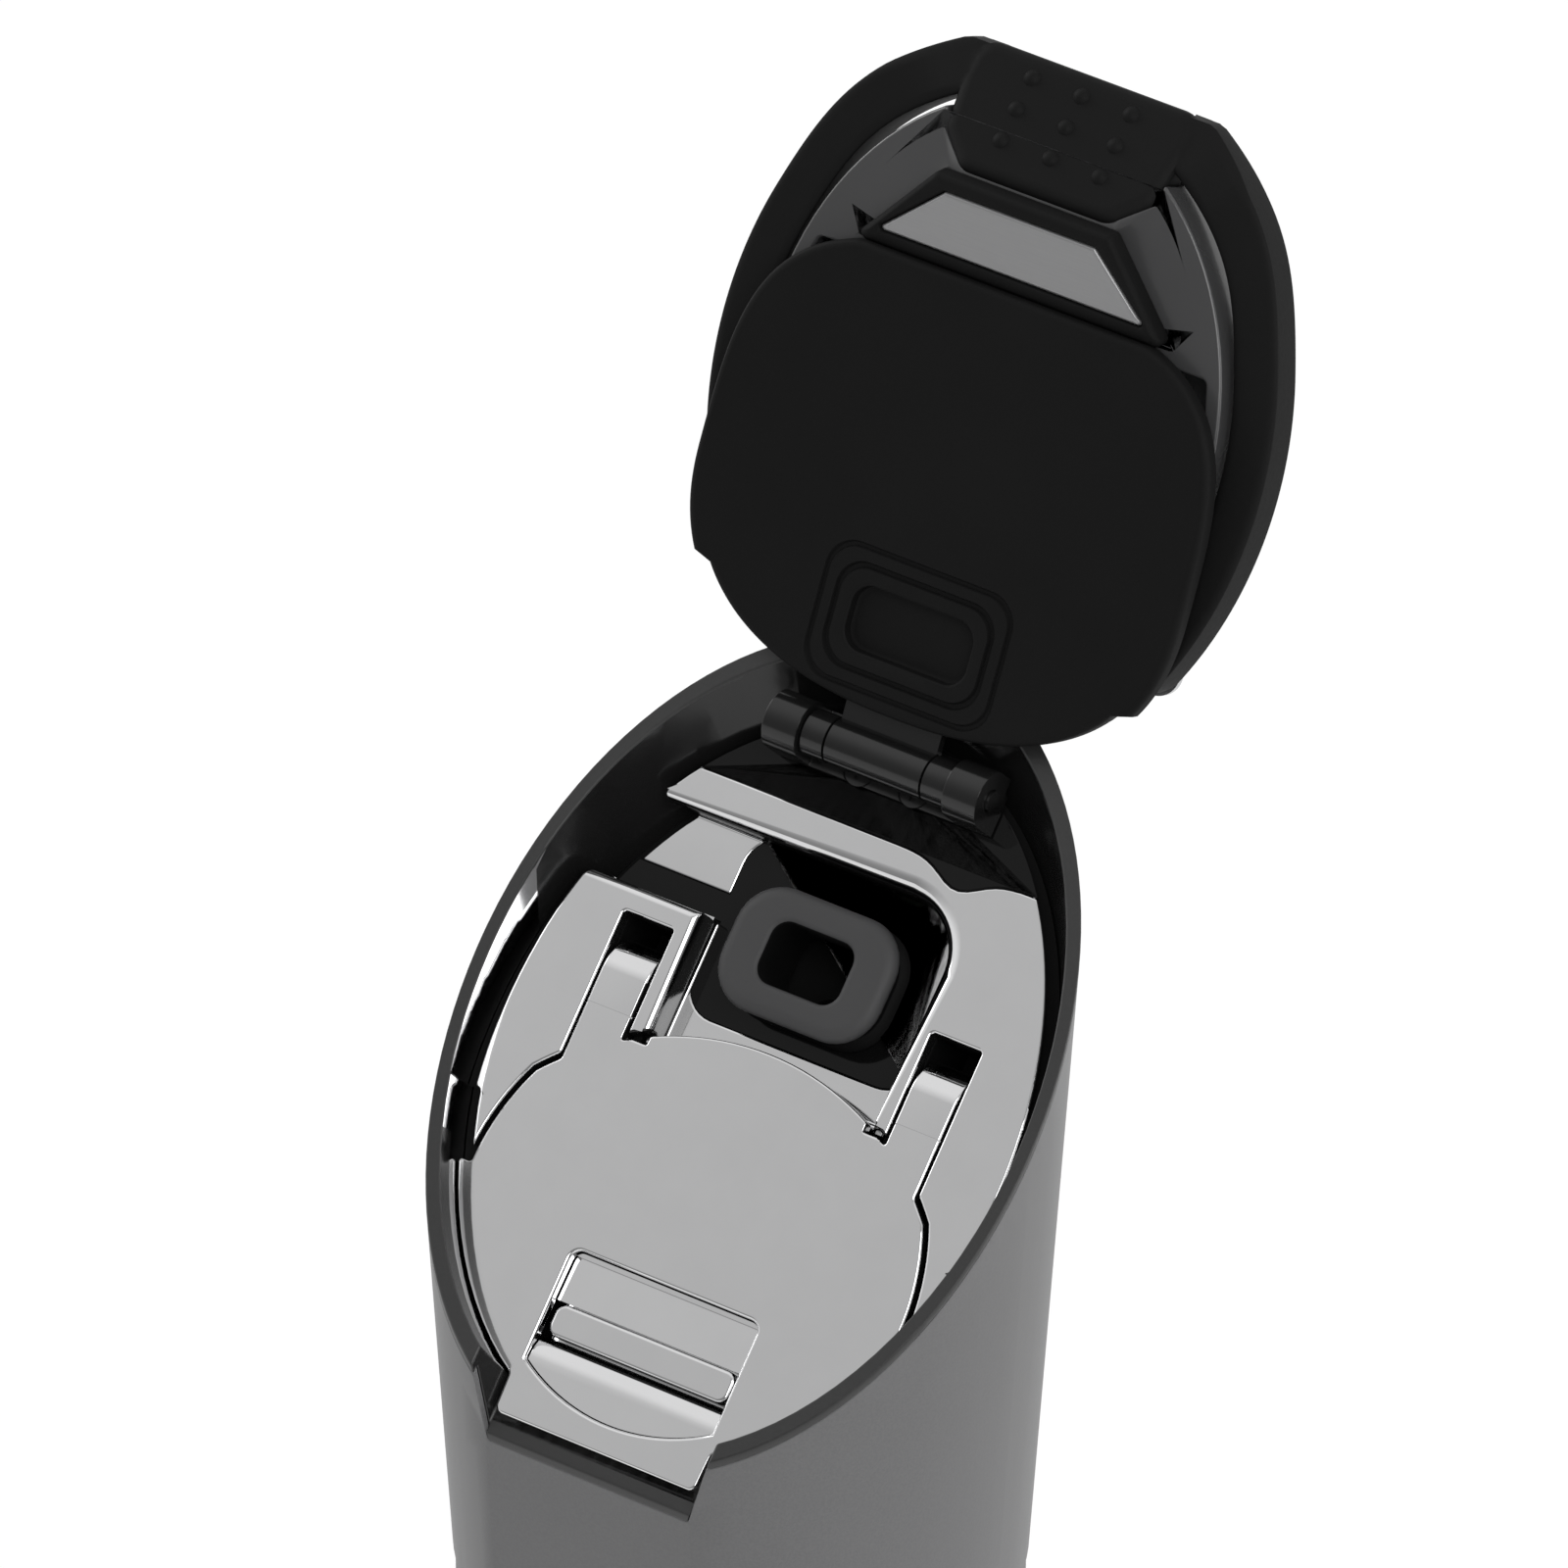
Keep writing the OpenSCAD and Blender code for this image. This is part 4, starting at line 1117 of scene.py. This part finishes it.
class BOTTLE_OT_spout(bpy.types.Operator):
    """Models the silicone spout and finishes the straw"""

    bl_idname = "bottle.spout"
    bl_label = "Spout and straw"

    def execute(self, context):
        spout = placed(loft("sip_spout", self.rings(), ring_closed=True), DECK)
        # Inside the sipping hole and down the neck and flange the grey spout is painted soft black as
        # painted shade
        finished_by_place(spout, (soft_grey, soft_black), self.below_face, DECK)
        settle(spout, soft_grey, "spout", ["spout"], 50)
        keep("straw", frosted_straw)
        return {"FINISHED"}

    def rings(self):
        """From the sipping hole over the rounded face, down the neck to its flange and the peg."""
        profile = (
            (10.5, 7.3, 2.0, -7.9),
            (10.5, 7.3, 2.0, 0.6),
            (10.7, 7.5, 2.1, 0.95),
            (11.2, 8.0, 2.4, 1.15),
            (11.9, 8.7, 2.8, 1.2),
            (17.6, 11.6, 4.0, 1.2),
            (19.0, 13.0, 4.7, 1.1),
            (20.0, 14.0, 5.1, 0.8),
            (20.6, 14.6, 5.4, 0.35),
            (20.7, 14.7, 5.4, -0.1),
            (20.4, 14.4, 5.3, -0.5),
            (19.4, 13.4, 4.9, -0.8),
            (18.8, 12.8, 4.7, -1.2),
            (18.8, 12.8, 4.7, -2.9),
            (20.0, 14.0, 5.2, -3.4),
            (20.6, 14.6, 5.4, -4.1),
            (14.1, 9.5, 2.6, -4.2),
            (14.1, 9.5, 2.6, -7.9),
        )
        return [rounded_ring(*row, (0.0, SPOUT_Y)) for row in profile]

    def below_face(self, centre, normal):
        """True inside the hole and on the neck and flange, which get painted shade in soft black."""
        inside = abs(centre.x) < HOLE_HALF_X and abs(centre.y - SPOUT_Y) < HOLE_HALF_Y
        return centre.z < -0.7 or (inside and centre.z < 0.8)


class BOTTLE_OT_hinge(bpy.types.Operator):
    """Models the lid's hinge"""

    bl_idname = "bottle.hinge"
    bl_label = "Lid hinge"

    def execute(self, context):
        bracket = refined("hinge_bracket", "hinge_ears", 0.15)
        settle(bracket, gloss_black, "head", ["hinge_bracket"])
        for node in ("lid_hinge_pin", "hinge_screws", "hinge_bushes"):
            keep(node, gloss_black)
        return {"FINISHED"}


class BOTTLE_OT_lid(bpy.types.Operator):
    """Models the lid's shell, frame and seal"""

    bl_idname = "bottle.lid"
    bl_label = "Lid"

    def execute(self, context):
        shell = refined("lid_shell", "lid_cover", 0.4, 3)
        settle(shell, lid_gloss, "lid", ["lid_shell"])
        keep("lid_frame", gloss_black)
        keep("lid_screws", turned_steel)
        seal = placed(loft("lid_gasket", self.seal_rings()), LID)
        settle(seal, soft_black, "lid", ["lid_seal"], 40)
        return {"FINISHED"}

    def seal_rings(self):
        """From the underside over the soft edge to the two ridges and the recess near the hinge."""
        rings = [
            self.seal_ring(inset, height)
            for inset, height in ((0.0, 0.2), (0.0, 1.45), (0.13, 1.85), (0.4, 2.1), (0.9, 2.2))
        ]
        hollows = (
            (24.4, 16.2, 3.7, 2.2),
            (24.0, 15.8, 3.6, 1.85),
            (23.3, 15.1, 3.4, 1.85),
            (22.9, 14.7, 3.3, 2.25),
            (20.6, 12.4, 3.5, 2.25),
            (20.2, 12.0, 3.4, 1.8),
            (19.4, 11.2, 3.2, 1.8),
            (19.0, 10.8, 3.1, 2.3),
            (16.4, 8.2, 2.7, 2.3),
            (15.8, 7.6, 2.5, 2.05),
            (15.5, 7.3, 2.4, 1.0),
            (14.6, 6.4, 2.0, 0.85),
        )
        for wide, long, corner, height in hollows:
            rings.append(radial_ring(in_rounded(wide, long, corner, PLUG), PLUG, height))
        return rings

    def seal_ring(self, inset, height):
        """The seal's outline: a fuller front, a step at both sides and a cut-off end."""

        def inside(x, y):
            front = y > SEAL_MID
            power = SEAL_FRONT_POWER if front else SEAL_BACK_POWER
            step = SEAL_STEP if y < SEAL_STEP_Y else 0.0
            half = SEAL_HALF - inset - step
            long = (SEAL_FRONT if front else SEAL_BACK) - inset - step
            within = (abs(x) / half) ** power + (abs(y - SEAL_MID) / long) ** power < 1
            return within and y < SEAL_END - inset

        return radial_ring(inside, PLUG, height)


class BOTTLE_OT_catch(bpy.types.Operator):
    """Models the catch plate and its rubber surround"""

    bl_idname = "bottle.catch"
    bl_label = "Lid catch"

    def execute(self, context):
        profile = ((0, 0.35, -0.9), (0, 0.35, -0.35), (0.12, 0.35, -0.08), (0.4, 0.3, 0))
        plate = loft("catch_face", [soft_polygon(CATCH, *row) for row in profile])
        settle(placed(plate, CATCH_FRAME), satin_plate, "lid", ["catch_plate"], 50)
        wider = 1 + SURROUND_WIDE / CATCH_HALF
        longer = 1 + SURROUND_LONG / CATCH_LONG
        outer = [(x * wider, y * longer - SURROUND_LONG / 2) for x, y in CATCH]
        surround = loft(
            "catch_surround",
            [
                soft_polygon(outer, 0.0, 0.7, -2.2),
                soft_polygon(outer, 0.0, 0.7, -0.6),
                soft_polygon(outer, 0.2, 0.65, -0.1),
                soft_polygon(outer, 0.6, 0.6, 0.1),
                soft_polygon(CATCH, -0.4, 0.6, 0.1),
                soft_polygon(CATCH, -0.15, 0.45, -0.1),
                soft_polygon(CATCH, -0.05, 0.4, -0.9),
            ],
        )
        settle(placed(surround, CATCH_FRAME), soft_black, "lid", ["catch_frame"], 50)
        return {"FINISHED"}


class BOTTLE_OT_loop(bpy.types.Operator):
    """Models the rubber carry loop with its thumb tab"""

    bl_idname = "bottle.loop"
    bl_label = "Carry loop"

    def execute(self, context):
        tab = placed(loft("carry_strap", self.tab_rings()), TAB_FRAME)
        arms = [placed(loft("arm", self.arm_rings(side)), LOOP_FRAME) for side in (1, -1)]
        combined(tab, "UNION", *arms, *self.bumps())
        settle(tab, loop_rubber, "lid", ["carry_loop"], 45)
        keep("loop_rivets", turned_steel)
        return {"FINISHED"}

    def tab_rings(self):
        """The thumb tab, soft all round."""
        profile = (
            (0.9, 1.8, -3.2),
            (0.3, 2.2, -3.0),
            (0.0, 2.4, -2.5),
            (0.0, 2.4, -0.3),
            (0.3, 2.2, 0.25),
            (0.9, 1.9, 0.55),
            (1.6, 1.6, 0.6),
        )
        return [soft_polygon(TAB, *row) for row in profile]

    def arm_rings(self, side):
        """Rounded sections along one half of the oval; near the tab they slope off into it."""
        sections = []
        for i in range(ARM_STEPS + 1):
            angle = ARM_START + ARM_SWEEP * i / ARM_STEPS
            turn = math.radians(angle)
            shrink = ARM_TAPER[i] if i < len(ARM_TAPER) else 1.0
            slope_sweep = ARM_START + ARM_SWEEP - SLOPE_START
            near_tab = min(max((angle - SLOPE_START) / slope_sweep, 0.0), 1.0)
            wider = ARM_BULGE * math.sin(math.pi * near_tab) ** 2
            rim = Vector((LOOP_HALF * math.cos(turn) + wider, LOOP_LONG * math.sin(turn)))
            middle = rim * (1 + LOOP_BORE) / 2
            across = rim * (1 - LOOP_BORE) / 2 * shrink
            ring = []
            for x, y, _ in rounded_ring(2.0, LOOP_H * shrink, ARM_CORNER, 0.0, steps=4):
                point = middle + across * x
                point.y = min(point.y, ARM_END)
                top = min(0.0, SLOPE_TOP - SLOPE * point.y)
                bottom = -LOOP_H - ARM_DROP * near_tab**3
                share = (y + LOOP_H / 2) / LOOP_H
                ring.append((side * point.x, point.y, bottom + (top - bottom) * share))
            sections.append(ring)
        return sections

    def bumps(self):
        """Nine soft grip bumps on the tab, modelled once and copied."""
        clear_selection()
        bpy.ops.mesh.primitive_uv_sphere_add(segments=20, ring_count=12, radius=BUMP_R * MM)
        first = bpy.context.object
        made = []
        for x in BUMPS_X:
            for y in BUMPS_Y:
                bump = first.copy()
                bump.data = first.data.copy()
                bpy.context.scene.collection.objects.link(bump)
                place = Vector((x, y, -BUMP_SUNK)) * MM
                made.append(placed(bump, TAB_FRAME @ Matrix.Translation(place)))
        bpy.data.objects.remove(first)
        return made


class BOTTLE_OT_stage(bpy.types.Operator):
    """Sets the floor, the lamps, the world and the camera"""

    bl_idname = "bottle.stage"
    bl_label = "Stage"

    def execute(self, context):
        self.floor()
        self.world(context)
        for name, place, size, power in LAMPS:
            self.lamp(name, place, size, power)
        self.camera(context)
        context.scene.view_settings.view_transform = "Standard"
        return {"FINISHED"}

    def floor(self):
        """A pale floor that glows towards the camera, so that it runs into the backdrop."""
        clear_selection()
        bpy.ops.mesh.primitive_plane_add(size=FLOOR_SIZE)
        floor = bpy.context.object
        floor.name = "floor"
        material = bpy.data.materials.new("pale_floor")
        nodes = Nodes(material)
        matte = nodes.node("ShaderNodeBsdfDiffuse", {}, {"Color": grey(0.9)})
        glow = nodes.node("ShaderNodeEmission", {}, {"Strength": FLOOR_GLOW})
        share = nodes.shown_rays() * GLOW_SHARE
        mixed = nodes.node(
            "ShaderNodeMixShader", {}, {0: share, 1: matte.outputs[0], 2: glow.outputs[0]}
        )
        nodes.node("ShaderNodeOutputMaterial", {}, {"Surface": mixed.outputs[0]})
        floor.data.materials.append(material)

    def world(self, context):
        """White backdrop behind the object, a dimmer room on the camera's side."""
        world = bpy.data.worlds.new("studio")
        context.scene.world = world
        nodes = Nodes(world)
        aim = nodes.node("ShaderNodeTexCoord", {}, {}).outputs["Generated"]
        depth = nodes.node(
            "ShaderNodeVectorMath", {"operation": "DOT_PRODUCT"}, {0: aim, 1: BACKDROP_WAY}
        )
        behind = Value(nodes, depth.outputs["Value"]).between(-0.6, 0.15)
        camera = nodes.node("ShaderNodeLightPath", {}, {}).outputs["Is Camera Ray"]
        strength = nodes.larger(camera, behind * (1 - BACKDROP_LOW) + BACKDROP_LOW)
        room = nodes.node("ShaderNodeBackground", {}, {"Color": grey(1.0), "Strength": ROOM_LIGHT})
        backdrop = nodes.node("ShaderNodeBackground", {}, {"Color": grey(1.0), "Strength": strength})
        mixed = nodes.node(
            "ShaderNodeMixShader",
            {},
            {0: nodes.shown_rays(), 1: room.outputs[0], 2: backdrop.outputs[0]},
        )
        nodes.node("ShaderNodeOutputWorld", {}, {"Surface": mixed.outputs[0]})

    def lamp(self, name, place, size, power):
        """A square lamp that faces the head."""
        clear_selection()
        bpy.ops.object.light_add(type="AREA", location=place)
        lamp = bpy.context.object
        lamp.name = name
        lamp.data.size = size
        lamp.data.energy = power
        aim = LAMP_AIM - Vector(place)
        lamp.rotation_euler = aim.to_track_quat("-Z", "Y").to_euler()

    def camera(self, context):
        """The photo's camera."""
        azimuth, elevation, roll = (math.radians(a) for a in CAMERA_TURNS)
        swing = Matrix.Rotation(azimuth, 4, "Z")
        tilt = Matrix.Rotation(math.pi / 2 - elevation, 4, "X")
        turn = swing @ tilt @ Matrix.Rotation(roll, 4, "Z")
        data = bpy.data.cameras.new("camera")
        camera = bpy.data.objects.new("camera", data)
        context.scene.collection.objects.link(camera)
        camera.matrix_world = Matrix.Translation(CAMERA_PLACE) @ turn
        data.sensor_width = SENSOR
        data.lens = CAMERA_FOCAL * SENSOR / PHOTO_SIDE
        data.clip_start = 0.05
        data.clip_end = 50
        context.scene.camera = camera


class BOTTLE_PT_panel(bpy.types.Panel):
    """Lists the pieces and their sizes and colours"""

    bl_label = "Flip-lid bottle"
    bl_idname = "BOTTLE_PT_panel"
    bl_space_type = "VIEW_3D"
    bl_region_type = "UI"
    bl_category = "Bottle"

    def draw(self, context):
        look = context.scene.bottle_look
        for name in BottleLook.__annotations__:
            self.layout.prop(look, name)
        for piece in PIECES:
            self.layout.operator(piece.bl_idname)


PIECES = (
    BOTTLE_OT_body,
    BOTTLE_OT_head,
    BOTTLE_OT_deck,
    BOTTLE_OT_flap,
    BOTTLE_OT_spout,
    BOTTLE_OT_hinge,
    BOTTLE_OT_lid,
    BOTTLE_OT_catch,
    BOTTLE_OT_loop,
    BOTTLE_OT_stage,
)
CLASSES = (BottleLook, *PIECES, BOTTLE_PT_panel)


def register():
    for kind in CLASSES:
        bpy.utils.register_class(kind)
    bpy.types.Scene.bottle_look = PointerProperty(type=BottleLook)


def unregister():
    del bpy.types.Scene.bottle_look
    for kind in reversed(CLASSES):
        bpy.utils.unregister_class(kind)


def main():
    register()
    bpy.ops.bottle.body()
    bpy.ops.bottle.head()
    bpy.ops.bottle.deck()
    bpy.ops.bottle.flap()
    bpy.ops.bottle.spout()
    bpy.ops.bottle.hinge()
    bpy.ops.bottle.lid()
    bpy.ops.bottle.catch()
    bpy.ops.bottle.loop()
    bpy.ops.bottle.stage()


if __name__ == "__main__":
    main()
